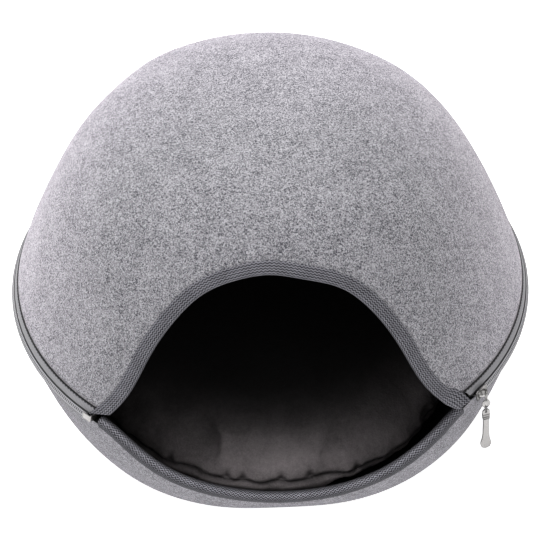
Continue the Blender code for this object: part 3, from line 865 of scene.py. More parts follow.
def woven_material(name, light, dark, weave):
    """Woven binding on the piece's own UVs, with painted shade halving its colour on the leaf that turns in
    past the fold into the mouth. The weave is the group's values by name."""
    made, tree, shader = new_material(name, 0.85, 0.12)
    if tree is None:
        return made
    place = tree.node("ShaderNodeTexCoord").outputs
    given = {"Vector": place["UV"], "Light": rgba(light), "Dark": rgba(dark), "Row": 0.0017, **weave}
    cloth = group_node(tree, weave_group(), given)
    patch = tree.ramp(tree.noise(place["Object"], 90.0, 3.0), 0.3, 0.7, 0.86, 1.12)
    # painted shade: the colour halves past the fold, on the leaf turned into the mouth
    inside = tree.ramp(tree.split(place["UV"])["Y"], 0.0098, 0.0118, 1.0, 0.5)
    colour = tree.shade(cloth["Colour"], tree.math("MULTIPLY", patch, inside))
    roughness = tree.ramp(cloth["Height"], 0.0, 1.0, 0.95, 0.68)
    finish(tree, shader, colour, roughness, cloth["Height"], 0.35, 0.0005)
    return made


def tape_material(name, colour, lines):
    """Zip tape on the piece's own UVs. The lines are the group's distances by name."""
    made, tree, shader = new_material(name, 0.85, 0.25, sheen=(0.1, 0.5, (1, 1, 1)))
    if tree is None:
        return made
    place = tree.node("ShaderNodeTexCoord").outputs
    face = group_node(tree, zip_tape_group(), {"Vector": place["UV"], **lines})
    roughness = tree.ramp(face["Value"], 0.0, 1.0, 0.95, 0.8)
    finish(tree, shader, tree.shade(rgba(colour), face["Value"]), roughness, face["Height"], 0.5, 0.0003)
    return made


def metal_material(name, colour, turned):
    """Plated metal with soft handling marks and a darker film in the smudges. Its colour darkens between two
    shares of turning away from the eye, a painted reflection darkening its edges."""
    made, tree, shader = new_material(name, 0.25, metallic=1.0)
    if tree is None:
        return made
    place = tree.node("ShaderNodeTexCoord").outputs
    wear = group_node(tree, wear_group(), {"Vector": place["Object"], "Scale": 180.0})
    dull = tuple(0.86 * part for part in colour)
    # painted reflection: the colour falls to 0.08 where the metal turns away from the eye
    gloss = tree.ramp(tree.facing(), *turned, 1.0, 0.08)
    shaded = tree.shade(tree.mix(wear["Mask"], rgba(colour), rgba(dull)), gloss)
    roughness = tree.ramp(wear["Mask"], 0.0, 1.0, 0.24, 0.40)
    finish(tree, shader, shaded, roughness, wear["Height"], 0.05, 0.00002)
    return made


def nylon_material(name, colour):
    """Moulded nylon with slightly uneven gloss."""
    made, tree, shader = new_material(name, 0.45)
    if tree is None:
        return made
    grain = tree.noise(tree.node("ShaderNodeTexCoord").outputs["Object"], 900.0, 3.0)
    shaded = tree.shade(rgba(colour), tree.ramp(grain, 0.3, 0.7, 0.8, 1.15))
    finish(tree, shader, shaded, tree.ramp(grain, 0.2, 0.8, 0.36, 0.58), grain, 0.2, 0.0001)
    return made


def plush_material(name, light, dark):
    """Short plush: brushed patches, pile grain and tufts. Painted shade darkens it where the point attribute
    made in sew_cushion is high, in the seam and the puckers. Painted light makes it brightest towards its
    rim and its +X side, as where light falls in at the mouth, and painted shade leaves it near black towards
    the middle."""
    made, tree, shader = new_material(name, 0.92, 0.2, sheen=(0.15, 0.4, (1.0, 0.95, 0.95)))
    if tree is None:
        return made
    at = tree.node("ShaderNodeTexCoord").outputs["Object"]
    brushed = tree.noise(at, 26.0, 4.0, 0.55, 0.8)
    pile = tree.noise(at, 900.0, 3.0, 0.65)
    tufts = tree.noise(at, 260.0, 3.0, 0.6)
    value = tree.add_about(tufts, 0.5, tree.add_about(pile, 0.7, brushed))
    colour = tree.mix(tree.ramp(value, 0.15, 0.85), rgba(dark), rgba(light))
    # painted light: brighter out towards the rim and the +X side, as where light falls in at the mouth;
    # painted shade near black further in
    from_middle = tree.node("ShaderNodeVectorMath", {0: at}, operation="LENGTH").outputs["Value"]
    painted_front_light = tree.math("POWER", tree.ramp(from_middle, 0.093, 0.158), 3.2)
    side = tree.ramp(tree.split(at)["X"], -0.115, -0.035, 0.2, 1.0)
    painted_front_light = tree.math("MULTIPLY", painted_front_light, side)
    # painted shade in the seam and the puckers, down to a quarter of the colour
    sewn = tree.node("ShaderNodeAttribute", attribute_name="SeamShade").outputs["Fac"]
    painted_seam_shade = tree.ramp(sewn, 0.1, 0.9, 1.0, 0.25)
    shade = tree.math("MULTIPLY", tree.math("MULTIPLY_ADD", painted_front_light, 2.45, 0.06), painted_seam_shade)
    height = tree.math("MULTIPLY_ADD", pile, 0.5, tree.math("MULTIPLY", tufts, 0.7))
    roughness = tree.ramp(value, 0.0, 1.0, 0.98, 0.85)
    finish(tree, shader, tree.shade(colour, shade), roughness, height, 0.6, 0.0012)
    return made


def material_set():
    """Every finish, made from the colours in the panel."""
    c = bpy.context.scene.cat_cave_colours
    felt = (c.felt_light, c.felt_dark)
    yarns = (c.binding_light, c.binding_dark)
    arch_weave = {"Pitch": 0.0027, "Slant": 0.21}
    # on the lip, Face is painted shade on the outer leaf and Fold places the painted highlight along its top
    lip_weave = {"Pitch": 0.0034, "Slant": 0.40, "Fold": 0.0074, "Face": 0.58}
    # the crease and the two lines are painted shade: under the felt's edge, in the gap between the tapes and
    # at the tape's edge
    upper_lines = {"Crease": 0.0054, "Line A": 0.0111, "Line B": 0.0118}
    lower_lines = {"Ladder": 0.0058, "Line A": 0.0079, "Line B": 0.0033}
    # the slider is the same nickel, brighter and darkened sooner by the painted reflection: painted light and
    # shade for its bar and edges
    slider_painted_light_nickel = tuple(1.15 * part for part in c.nickel)
    return {
        # the dome's felt gets a painted sheen, lighter and pinker towards its silhouette
        "felt": felt_material("Grey Felt", *felt, 0.22, (1.66, 1.58, 1.65)),
        # the inner faces and cut edges: near-black painted shade
        "inside": felt_material("Inner Felt Painted Shade", c.inside, c.inside, 0.0),
        # the bowl's copy of the felt gets painted shade towards its silhouette instead, and a weaker sheen
        "bowl": felt_material("Grey Felt Bowl", *felt, 0.1, (0.88, 0.87, 0.89), (1, 1, 1.7)),
        "binding": woven_material("Woven Binding", *yarns, arch_weave),
        "lip_binding": woven_material("Woven Lip Binding", *yarns, lip_weave),
        "tape": tape_material("Zip Tape", c.tape, upper_lines),
        # the lower tape's colour is the upper tape's, brightened as painted light
        "lower_tape_painted_light": tape_material("Lower Zip Tape", c.lower_tape_painted_light, lower_lines),
        # the coil's near-black colour is painted shade in the gap between the tapes
        "coil": nylon_material("Nylon Coil", c.coil),
        "nickel": metal_material("Nickel", c.nickel, (0.42, 0.80)),
        "slider": metal_material("Slider Nickel Painted Light", slider_painted_light_nickel, (0.30, 0.60)),
        "plush": plush_material("Dark Plush", c.plush_light, c.plush_dark),
        "thread": nylon_material("Dark Thread", c.binding_dark),
    }


# --- felt shells ------------------------------------------------------------


SHELL_COLUMNS = (130, 240)  # across the mouth and round the rest
DOME_ROWS = 76
BOWL_ROWS = 56
BASE_ROWS = 8


def dents(points, depth):
    """Soft dents of moulded felt: the sum of three slow sine products in space, times a depth."""
    x, y, z = (points[..., i] for i in range(3))
    wave = np.sin(31 * x + 0.7) * np.sin(27 * y + 1.9)
    wave = wave + 0.6 * np.sin(53 * x + 41 * z) * np.sin(47 * y + 0.4)
    wave = wave + 0.4 * np.sin(83 * y - 61 * z + 2.0) * np.sin(71 * x + 1.1)
    return depth * wave


def shell_columns(cut):
    """Columns of a shell: points along its cut edge, and azimuths round the rest of it."""
    cut = evenly(cut, SHELL_COLUMNS[0])
    left, right = azimuth_of(cut[0]), azimuth_of(cut[-1])
    return cut, np.linspace(right, left + 360, SHELL_COLUMNS[1])[1:-1]


def dome_mesh(unevenness):
    """The dome's outside. Columns start along the arch and then along the level foot, rows climb the section
    to the crown, and soft dents fade out towards the cut edge."""
    arch = arch_line()
    arch, ring = shell_columns(arch[arch[:, 2] >= DOME_FOOT])
    azimuth = np.concatenate([azimuth_of(arch), ring])
    foot = np.concatenate([arch[:, 2], np.full(len(ring), DOME_FOOT)])
    share = np.linspace(0, 1, len(SECTION))
    start = np.interp(foot, SECTION[:, 1], share)
    levels = np.linspace(0, 1, DOME_ROWS)[:-1, None] ** 1.15
    at = start + (1 - start) * levels
    radius = np.interp(at, share, SECTION[:, 0])
    points = around(azimuth, radius, np.interp(at, share, SECTION[:, 1]))
    slope = np.gradient(SECTION[:, 1], SECTION[:, 0] + np.linspace(0, -1e-9, len(SECTION)))
    lean = np.interp(at, share, np.arctan2(1.0, -slope))[..., None]
    level = points * (1, 1, 0) / np.maximum(radius, 1e-6)[..., None]
    normal = np.cos(lean) * level + np.sin(lean) * (0, 0, 1)
    fade = smooth(levels / 0.12)
    points = points + normal * (dents(points, unevenness) * fade)[..., None]
    top = np.array([0.0, 0.0, DOME_TOP])
    top = top + dents(top, unevenness) * np.array([0, 0, 1])
    return sheet("dome_felt_cloth", points, wrap=True, pole=top)


def bowl_mesh(unevenness):
    """The bowl's outside: rows run out over the flat base and climb the section to the rim, which dips as a
    lip across the mouth."""
    lip, ring = shell_columns(lip_line())
    azimuth = np.concatenate([azimuth_of(lip), ring])
    beyond = np.where(ring > 180, ring - 360, ring)
    near = np.abs(beyond) < LIP_ENDS[1] + 0.2
    level = np.where(near, lip_height(np.clip(beyond, *LIP_ENDS)), BOWL_RIM)
    rim = np.concatenate([lip[:, 2], level])
    share = np.linspace(0, 1, 1200)
    top = np.interp(rim, bowl_section(share)[:, 1], share)
    at = top * np.linspace(0, 1, BOWL_ROWS)[:, None]
    section = bowl_section(at)
    height = section[..., 1]
    wall = around(azimuth, section[..., 0] * bowl_swell(azimuth, height), height)
    fade = smooth(at / 0.3) * smooth((top - at) / 0.12)
    out = wall / np.linalg.norm(wall[..., :2], axis=-1)[..., None] * (1, 1, 0)
    wall = wall + out * (dents(wall, unevenness) * fade)[..., None]
    base = around(azimuth, np.linspace(0.04, 0.96, BASE_ROWS)[:, None] * BOWL_BASE_RADIUS, 0.0)
    return sheet("bowl_felt_cloth", np.concatenate([base, wall]), wrap=True, foot=(0, 0, 0))


class CATCAVE_OT_shells(bpy.types.Operator):
    """Adds the felt dome and the felt bowl"""

    bl_idname = "cat_cave.shells"
    bl_label = "Add Felt Shells"

    def execute(self, context):
        sizes = context.scene.cat_cave_sizes
        looks = material_set()
        for build, name, finish in (
            (dome_mesh, "dome_felt", "felt"),
            (bowl_mesh, "bowl_felt", "bowl"),
        ):
            faces = [looks[finish], looks["inside"]]
            mesh = build(sizes.unevenness)
            shell = add_piece(name + "_cloth", mesh, faces, [name], smooth_angle=180)
            thicken(shell, sizes.felt, offset=-1, inner_slot=1)
        return {"FINISHED"}


# --- bindings ---------------------------------------------------------------


def on_wall(points, radius_of, out, level=0.0):
    """The points moved level onto the wall, then off it along its normal or, by the share given, level."""
    azimuth, height = azimuth_of(points), points[..., 2]
    step = 0.0005
    slope = (radius_of(azimuth, height + step) - radius_of(azimuth, height - step)) / (2 * step)
    length = np.sqrt(1 + slope**2)
    outward = out * ((1 - level) / length + level * length)
    radius = radius_of(azimuth, height) + outward
    return around(azimuth, radius, height - (1 - level) * out * slope / length)


INNER_LEAF = 0.0105
CLEAR_OUTSIDE, CLEAR_EDGE, CLEAR_INSIDE = 0.0003, 0.0006, 0.0008  # of the tape from the felt
ARCH_TURNING = 0.018  # length over which the arch's right end turns level
ARCH_WIDENING = (0.4, 0.021, 0.010)  # its share, where it starts from that end and its length
CUT_HEIGHT = 0.105  # on the arch's edge, where its left end is cut off
CUT_LEAN = np.array([0.0, 0.69, 0.724])  # normal of the plane that cuts it
LIP_BEYOND = 2.2  # degrees that the lip's tape runs on past the mouth's right corner
RIPPLE = (0.00012, 0.0115)  # depth and pitch of the stitching's pull on the outer edge


def fold_section(leaf, felt, tape):
    """Reach and offset across a folded tape: down the outer leaf, round the felt's edge as two quarter
    circles and back along the inner leaf."""
    off = CLEAR_OUTSIDE + tape / 2
    inside = -(felt + CLEAR_INSIDE + tape / 2)
    edge = -(CLEAR_EDGE + tape / 2)
    corner = (off - inside) / 2 * 0.86
    turn = np.linspace(0, math.pi / 2, 9)
    sine, cosine = corner * (1 - np.sin(turn)), corner * (1 - np.cos(turn))
    first = np.stack([edge + sine, off - cosine], axis=-1)
    second = np.stack([edge + cosine, inside + sine], axis=-1)
    outer = [(leaf, off - 0.0002), (leaf - 0.0012, off + 0.0001), (leaf * 0.5, off + 0.00015)]
    last = [(INNER_LEAF * 0.5, inside), (INNER_LEAF, inside)]
    return evenly(np.concatenate([outer, first, second, last]), 44)


def cut_off(strip, point, normal):
    """The strip from the place where it rises through a plane, in as many even steps as before. Its rows are
    places with the run along the tape."""
    above = (strip[:, :3] - point) @ normal
    under = np.flatnonzero(above[: len(above) // 2] < 0)
    if len(under) == 0:
        return strip
    first = under[-1] + 1
    share = above[first - 1] / (above[first - 1] - above[first])
    steps = np.linspace(first - 1 + share, len(strip) - 1, len(strip))
    return np.stack([np.interp(steps, np.arange(len(strip)), axis) for axis in strip.T], axis=-1)


def lengthened(line):
    """The line run on a little straight at both ends."""
    before = line[:1] + (line[:1] - line[8:9]) * np.linspace(1.2, 0.1, 8)[:, None]
    after = line[-1:] + (line[-1:] - line[-9:-8]) * np.linspace(0.05, 0.45, 5)[:, None]
    return np.concatenate([before, line, after])


def binding_mesh(name, line, radius_of, leaf, felt, tape, count, arch=False):
    """A folded tape along a cut edge, and its flat size, which is the way across the section by the way
    along the edge. At each station the section is laid along the wall: the reach runs across the edge and
    the offset off the wall. On the arch the tape is longer, turns level and widens over a short length at
    its right end, and a leaning plane cuts its left end off."""
    line = evenly(lengthened(line) if arch else line, count)
    along = np.gradient(line, axis=0)
    along /= np.linalg.norm(along, axis=1, keepdims=True)
    outward = on_wall(line, radius_of, 0.001) - line
    outward /= np.linalg.norm(outward, axis=1, keepdims=True)
    across = np.cross(outward, along)
    run = lengths(line)
    to_end = (run[-1] - run)[:, None]
    turn = arch * smooth(1 - to_end / ARCH_TURNING)
    turned = across * (1 - turn) + around(azimuth_of(line) + 90, 1.0, 0.0) * turn
    turned /= np.linalg.norm(turned, axis=1, keepdims=True)
    widen = np.minimum(1 / np.sum(turned * across, axis=1), 1.1)[:, None]
    share, start, length = ARCH_WIDENING
    widen = widen * (1 + arch * share * smooth((start - to_end) / length))
    corner = line[np.argmax(line[:, 2] > CUT_HEIGHT)]
    section = fold_section(leaf, felt, tape)
    ripple = RIPPLE[0] * np.sin(run * 2 * math.pi / RIPPLE[1] + 2.0 * np.sin(run * 90))
    strips = []
    for reach, out in section:
        reach = reach + ripple * smooth((reach - leaf * 0.6) / (leaf * 0.4))
        points = line + turned * widen * reach[:, None]
        strip = np.column_stack([on_wall(points, radius_of, out, level=turn[:, 0] ** 4), run])
        strips.append(cut_off(strip, corner, CUT_LEAN) if arch else strip)
    grid = np.stack(strips)
    width = lengths(section)
    uv = np.stack(np.broadcast_arrays(grid[..., 3], width[:, None]), axis=-1)
    return sheet(name, grid[..., :3], uv=uv), (float(width[-1]), float(run[-1]))


class CATCAVE_OT_bindings(bpy.types.Operator):
    """Adds the woven bindings round the mouth"""

    bl_idname = "cat_cave.bindings"
    bl_label = "Add Bindings"

    def execute(self, context):
        sizes = context.scene.cat_cave_sizes
        looks = material_set()
        thick = (sizes.felt, sizes.binding)
        arch = ("arch_binding_tape", arch_line(), dome_radius, sizes.arch_leaf, *thick, 360, True)
        lip = ("lip_binding_tape", lip_line(LIP_BEYOND)[::-1], bowl_radius, sizes.lip_leaf, *thick, 260)
        for shape, finish, node, shell in (
            (arch, "binding", "arch_binding", "dome_felt"),
            (lip, "lip_binding", "lip_binding", "bowl_felt"),
        ):
            mesh, flat = binding_mesh(*shape)
            piece = add_piece(shape[0], mesh, looks[finish], [node], smooth_angle=70)
            thicken(piece, sizes.binding, offset=0)
        return {"FINISHED"}


# --- zip --------------------------------------------------------------------


UPPER_TAPE = (
    ("radius", "height"),
    (0.1908, 0.1037),
    (0.1951, 0.1051),
    (0.1957, 0.1049),
    (0.1974, 0.1021),
    (0.1984, 0.0996),
    (0.1981, 0.0983),
)
LOWER_TAPE = (
    ("radius", "height"),
    (0.1993, 0.0922),
    (0.2008, 0.0936),
    (0.2013, 0.0949),
    (0.2008, 0.0963),
    (0.1990, 0.0986),
)
COIL_RING = 0.1964
COIL_APART = 0.0008  # of each wire from the middle
COIL_HALF = (0.0011, 0.0012)  # half depth and half height of a turn
COIL_WIRE = 0.00033
COIL_SIDES = 4
COIL_STEPS = 8  # to a turn
TAPE_SLANT = (0.4424, 0.56)  # shares of a tape's width: where the slant of an end starts, and its extent
STITCH_RING = (0.19632, 0.10455)  # radius and height of the row of stitches on the upper tape
STITCH_OUT = (0.80, 0.60)  # the cloth's normal there, outward and up
STITCH_LENGTH = 0.0024
STITCH_WIDTH = 0.00055


def tape_mesh(name, section, start, end, count=520):
    """A zip tape: its section of radius and height is turned round the axis between two azimuths. Start and
    end are pairs of azimuths, one at the tape's covered part and one at its free edge, eased in between, so
    that an end can be cut at a slant. Its UVs are metres along the ring and across the tape."""
    section = evenly(rows(section), 16)
    across = lengths(section)
    share = np.clip((across / across[-1] - TAPE_SLANT[0]) / TAPE_SLANT[1], 0, 1)[:, None]
    first = start[0] + (start[1] - start[0]) * share
    last = end[0] + (end[1] - end[0]) * share
    ring = first + (last - first) * np.linspace(0, 1, count)
    grid = around(ring, section[:, :1], section[:, 1:])
    run = np.radians(ring - start[0]) * ZIP_RADIUS
    uv = np.stack(np.broadcast_arrays(run, across[:, None]), axis=-1)
    return sheet(name, grid, uv=uv)


def coil_mesh(name, pitch):
    """The closed coil: two wires wound as flattened helices round the ring, half a turn apart."""
    turns = int(math.radians(ZIP_END - SLIDER_AZIMUTH) * COIL_RING / pitch)
    steps = np.arange(turns * COIL_STEPS + 1)
    turn = steps * (2 * math.pi / COIL_STEPS)
    azimuth = SLIDER_AZIMUTH + (ZIP_END - SLIDER_AZIMUTH - 0.4) * steps / steps[-1]
    depth, rise = COIL_HALF
    start_cap = np.arange(COIL_SIDES)[None, ::-1]
    end_cap = np.arange(COIL_SIDES)[None] + (len(steps) - 1) * COIL_SIDES
    points, faces = [], []
    for index, side in enumerate((-1, 1)):
        height = ZIP_HEIGHT + side * COIL_APART + rise * np.cos(turn)
        path = around(azimuth, COIL_RING + depth * np.sin(turn + side), height)
        rings = sweep(path, circle(COIL_WIRE, COIL_SIDES), around(azimuth, 1.0, 0.0))
        offset = index * len(steps) * COIL_SIDES
        points.append(rings.reshape(-1, 3))
        faces.append(grid_faces(len(steps), COIL_SIDES, True, offset)[0])
        faces.append(np.concatenate([start_cap, end_cap]) + offset)
    return mesh_from(name, np.concatenate(points), faces)


def stitch_shape():
    """One stitch: a short thread bowed out of the cloth, along X, a little thicker in the middle."""
    t = np.linspace(-1, 1, 5)
    path = np.stack([t, 0 * t, 0.35 * (1 - t**2) - 0.12], axis=-1)
    rings = sweep(path, circle(0.2, 5), np.tile([0.0, 0.0, 1.0], (5, 1)))
    ends = np.array([[4, 3, 2, 1, 0], [20, 21, 22, 23, 24]])
    return rings.reshape(-1, 3), [grid_faces(5, 5, True)[0], ends]


def stitches_mesh(name, path, normals, pitch, length, width):
    """A row of stitches: one thread set down at every pitch along the path, lying on the normals."""
    count = int(lengths(path)[-1] / pitch)
    stations = evenly(np.concatenate([path, normals], axis=1), count)
    path, normals = stations[:, :3], stations[:, 3:]
    along = np.gradient(path, axis=0)
    along /= np.linalg.norm(along, axis=1, keepdims=True)
    side = np.cross(normals, along)
    side /= np.linalg.norm(side, axis=1, keepdims=True)
    places = np.tile(np.eye(4), (count, 1, 1))
    places[:, :3, 0] = along * length / 2
    places[:, :3, 1] = side * width
    places[:, :3, 2] = np.cross(along, side) * width
    places[:, :3, 3] = path
    return repeated(name, *stitch_shape(), places)


class CATCAVE_OT_zip(bpy.types.Operator):
    """Adds the zip's tapes, coil and stitching"""

    bl_idname = "cat_cave.zip"
    bl_label = "Add Zip"

    def execute(self, context):
        sizes = context.scene.cat_cave_sizes
        looks = material_set()
        upper_ends = (ZIP_START - 0.9, ZIP_START + 0.4), (ZIP_END + 1.8, ZIP_END + 0.8)
        lower_ends = (SLIDER_AZIMUTH, SLIDER_AZIMUTH), (ZIP_END, ZIP_END)
        for name, section, ends, finish in (
            ("zip_tape_upper", UPPER_TAPE, upper_ends, "tape"),
            ("zip_tape_lower", LOWER_TAPE, lower_ends, "lower_tape_painted_light"),
        ):
            mesh = tape_mesh(name + "_cloth", section, *ends)
            piece = add_piece(name + "_cloth", mesh, looks[finish], [name], smooth_angle=60)
            thicken(piece, sizes.tape, offset=0)
        coil = coil_mesh("zip_coil", sizes.coil_pitch)
        add_piece("zip_coil", coil, looks["coil"], ["zip_chain"], smooth_angle=180)
        ring = np.linspace(ZIP_START + 0.6, ZIP_END - 0.4, 900)
        path, normals = around(ring, *STITCH_RING), around(ring, *STITCH_OUT)
        stitch = (STITCH_PITCH, STITCH_LENGTH, STITCH_WIDTH)
        mesh = stitches_mesh("zip_stitches", path, normals, *stitch)
        add_piece("zip_stitches", mesh, looks["thread"], smooth_angle=180)
        return {"FINISHED"}


# --- fittings ---------------------------------------------------------------

SLIDER_HALF = 0.0060
SLIDER_PLATES = (
    ("height", "half_thickness", "breadth"),
    (0.0020, 0.0006, 1.0),
    (-0.0052, 0.0005, 0.82),
)
CROWN_HALF = 0.0037
CROWN_FOOT = 0.0022
CROWN_RISE = 0.0040
LINK_DISC = 0.0103  # drop of its middle
LINK_BOSS = 0.0092
LINK_HOLE = 0.0130
LINK_LOOP = 0.0020
RING_DROP = 0.01585
PULL_HOLE = 0.0187
HOLE = 0.00125
WIRE = 0.0005
PULL = (
    ("drop", "half_width", "half_thickness"),
    (0.0167, 0.0013, 0.0007),
    (0.0178, 0.0024, 0.0008),
    (0.0195, 0.0028, 0.0008),
    (0.0230, 0.0026, 0.0010),
    (0.0270, 0.0023, 0.0011),
    (0.0400, 0.0023, 0.0011),
    (0.0487, 0.0029, 0.0010),
    (0.0535, 0.0039, 0.0009),
    (0.0560, 0.0042, 0.0008),
    (0.0587, 0.0036, 0.0007),
    (0.0606, 0.0020, 0.0006),
    (0.0611, 0.0008, 0.0005),
)
BEADS = (0.0222, 0.0243, 0.0264)  # drops of the pull's collar beads
BEAD_HALF = 0.00045
END_DROP = 0.048
END_SKEW = 0.10  # sideways slope of the pull's end
STOP_CLIP = (
    ("along", "off"),
    (-0.0048, 0.00175),
    (0.0021, 0.00175),
    (0.0021, -0.0050),
    (-0.0048, -0.0050),
)


def round_plate(half_width, half_height, thickness, edge, count=48):
    """A plate facing Z: rings of an elliptic outline run out under it, round a rim of the edge's radius and
    back over it."""
    outline = circle(1.0, count)
    inner = np.array([half_width, half_height]) - edge
    half = thickness / 2
    rings = [(inner * 0.35, -half), (inner * 0.75, -half)]
    for angle in np.linspace(-math.pi / 2, math.pi / 2, 7):
        rings.append((inner + edge * math.cos(angle), half * math.sin(angle)))
    rings += [(inner * 0.75, half), (inner * 0.35, half)]
    return np.stack([np.column_stack([outline * reach, np.full(count, z)]) for reach, z in rings])


def plate_piece(name, grid, place):
    """The plate's grid closed at both middles and set in its frame."""
    return bar(name, grid, place, (grid[0].mean(axis=0), grid[-1].mean(axis=0)))


def boolean(mesh, other, operation):
    """The exact union or difference of two closed meshes, as a new mesh."""
    target, tool = linked("target", mesh), linked("tool", other)
    step = target.modifiers.new("step", "BOOLEAN")
    step.operation = operation
    step.object = tool
    result = finished(target)
    for obj in (target, tool):
        bpy.data.objects.remove(obj)
    return result


def cut_hole(mesh, drop, place):
    """Drills a round hole along Z through a closed mesh, at a drop."""
    rim, reach = circle(HOLE, 32) - (0, drop), 0.003
    rings = np.stack([np.column_stack([rim, np.full(32, z)]) for z in (-reach, reach)])
    drill = bar("drill", rings, place, ((0, -drop, -reach), (0, -drop, reach)))
    return boolean(mesh, drill, "DIFFERENCE")


def hanging_frame():
    """Frame at the middle of the crown's bar, upright and turned to the azimuth that the pull faces."""
    tilted = frame_at(SLIDER_AZIMUTH, ZIP_RADIUS, ZIP_HEIGHT, SLIDER_TILT)
    upright = frame_at(HANG_FACING, 0, 0) @ Matrix.Rotation(HANG_LEAN, 4, "Z")
    upright.translation = tilted @ Vector((0, 0, CROWN_BAR))
    return upright


def slider_mesh():
    """The slider: a waisted plate outside and one inside, a post between them and an arched crown."""
    place = frame_at(SLIDER_AZIMUTH, ZIP_RADIUS, ZIP_HEIGHT, SLIDER_TILT)
    x = np.linspace(-SLIDER_HALF, SLIDER_HALF, 25)
    narrow = 0.0007 * smooth((np.abs(x) - 0.0035) / 0.0025)
    waist = 0.0006 * np.cos(x / SLIDER_HALF * math.pi / 2) ** 2
    wide = 0.0043 - narrow - waist
    turn = full_turn(24)
    post = round_plate(0.0010, 0.00032, 0.0074, 0.0001, 20) + (-0.0045, 0, -0.0016)
    body = None
    for middle, half, breadth in rows(SLIDER_PLATES):
        y = wide[:, None] * squared(np.cos(turn), 0.4) * breadth
        z = middle + half * squared(np.sin(turn), 0.5)
        grid = np.stack(np.broadcast_arrays(x[:, None], y, z), axis=-1)
        end = SLIDER_HALF + 0.00005
        plate = bar("slider_plate", grid, place, ((-end, 0, middle), (end, 0, middle)))
        body = plate if body is None else boolean(body, plate, "UNION")
    body = boolean(body, plate_piece("slider_post", post, place), "UNION")
    t = np.linspace(0, math.pi, 25)
    height = CROWN_FOOT + CROWN_RISE * np.sin(t) ** 0.8
    path = np.stack([CROWN_HALF * np.cos(t), 0 * t, height], axis=-1)
    outward = np.stack([np.cos(t), 0 * t, np.sin(t) + 0.01], axis=-1)
    rings = sweep(path, superellipse(turn, 0.0008, 0.00045, (0.5, 0.5)), outward)
    crown = bar("slider_crown", rings, place, (path[0], path[-1]))
    return boolean(body, crown, "UNION")


def side_loop(name, half_width, half_height, drop, place, count=48):
    """A wire loop facing X, centred at a drop below the bar."""
    turn = full_turn(count)
    path = np.stack([0 * turn, half_height * np.sin(turn) - drop, half_width * np.cos(turn)], axis=-1)
    normals = np.tile(np.array(place)[:3, 0], (count, 1))
    return outward_faces(wire_ring(name, placed(path, place), WIRE, normals))


def link_mesh():
    """The link: an oval disc with a soft rim, a hole for the ring and a long loop round the crown's bar."""
    place = hanging_frame()
    disc = round_plate(0.0032, 0.0044, 0.0012, 0.0006) - (0, LINK_DISC, 0)
    boss = round_plate(0.0021, 0.0025, 0.0017, 0.0005) - (0, LINK_BOSS, 0)
    link = boolean(plate_piece("link_disc", disc, place), plate_piece("link_boss", boss, place), "UNION")
    link = boolean(link, side_loop("link_loop", 0.0018, 0.0044, LINK_LOOP, place), "UNION")
    return cut_hole(link, LINK_HOLE, place)


def pull_mesh():
    """The pull: a holed head, three collar beads, a straight shank and a drop-shaped end. At each drop the
    section is a squared ellipse with the table's half sizes."""
    place = hanging_frame()
    table = rows(PULL)
    drop = np.linspace(table[0, 0], table[-1, 0], 110)
    drop = np.unique(np.concatenate([drop, np.linspace(0.0225, 0.0275, 40)]))
    half_width = spline(drop, table[:, 0], table[:, 1])
    half_thickness = spline(drop, table[:, 0], table[:, 2])
    for middle in BEADS:
        bead = np.exp(-(((drop - middle) / BEAD_HALF) ** 2))
        half_width = half_width + 0.0003 * bead
        half_thickness = half_thickness + 0.0007 * bead
    drop = drop[:, None]
    section = superellipse(full_turn(40), half_width[:, None], -half_thickness[:, None], (0.42, 0.42))
    x, z = section[..., 0], section[..., 1]
    y = -drop - END_SKEW * x * smooth((drop - END_DROP) / 0.008)
    grid = np.stack([x, y, z], axis=-1)
    tips = ((0, -drop[0, 0] + 0.0003, 0), (0, -drop[-1, 0] - 0.0003, 0))
    return cut_hole(bar("zip_pull_metal", grid, place, tips), PULL_HOLE, place)


def stop_mesh():
    """The bottom stop: a strip of plate carried round the chain's end as a squared clip. Its corners are
    eased by a running mean of five."""
    place = frame_at(STOP_AZIMUTH, ZIP_RADIUS, ZIP_HEIGHT, SLIDER_TILT)
    path = evenly(rows(STOP_CLIP), 60)
    ease = path.copy()
    ease[2:-2] = (path[:-4] + path[1:-3] + path[2:-2] + path[3:-1] + path[4:]) / 5
    path = np.stack([ease[:, 0], np.full(60, 0.0002), ease[:, 1]], axis=-1)
    normal = np.cross(np.gradient(path, axis=0), [0.0, 1.0, 0.0])
    rings = sweep(path, superellipse(full_turn(20), 0.0027, 0.00045, (0.3, 0.5)), normal)
    return bar("zip_stop_clip", rings, place, (path[0], path[-1]))


class CATCAVE_OT_fittings(bpy.types.Operator):
    """Adds the slider, its link, ring and pull, and the bottom stop"""

    bl_idname = "cat_cave.fittings"
    bl_label = "Add Zip Fittings"

    def execute(self, context):
        looks = material_set()
        ring = side_loop("zip_ring_wire", 0.0026, 0.0026, RING_DROP, hanging_frame())
        for node, mesh, finish in (
            ("zip_slider", slider_mesh(), "slider"),
            ("zip_link", link_mesh(), "nickel"),
            ("zip_ring", ring, "nickel"),
            ("zip_pull", pull_mesh(), "nickel"),
            ("zip_stop", stop_mesh(), "nickel"),
        ):
            add_piece(node + "_metal", mesh, looks[finish], [node], smooth_angle=35)
        return {"FINISHED"}


# --- cushion ----------------------------------------------------------------

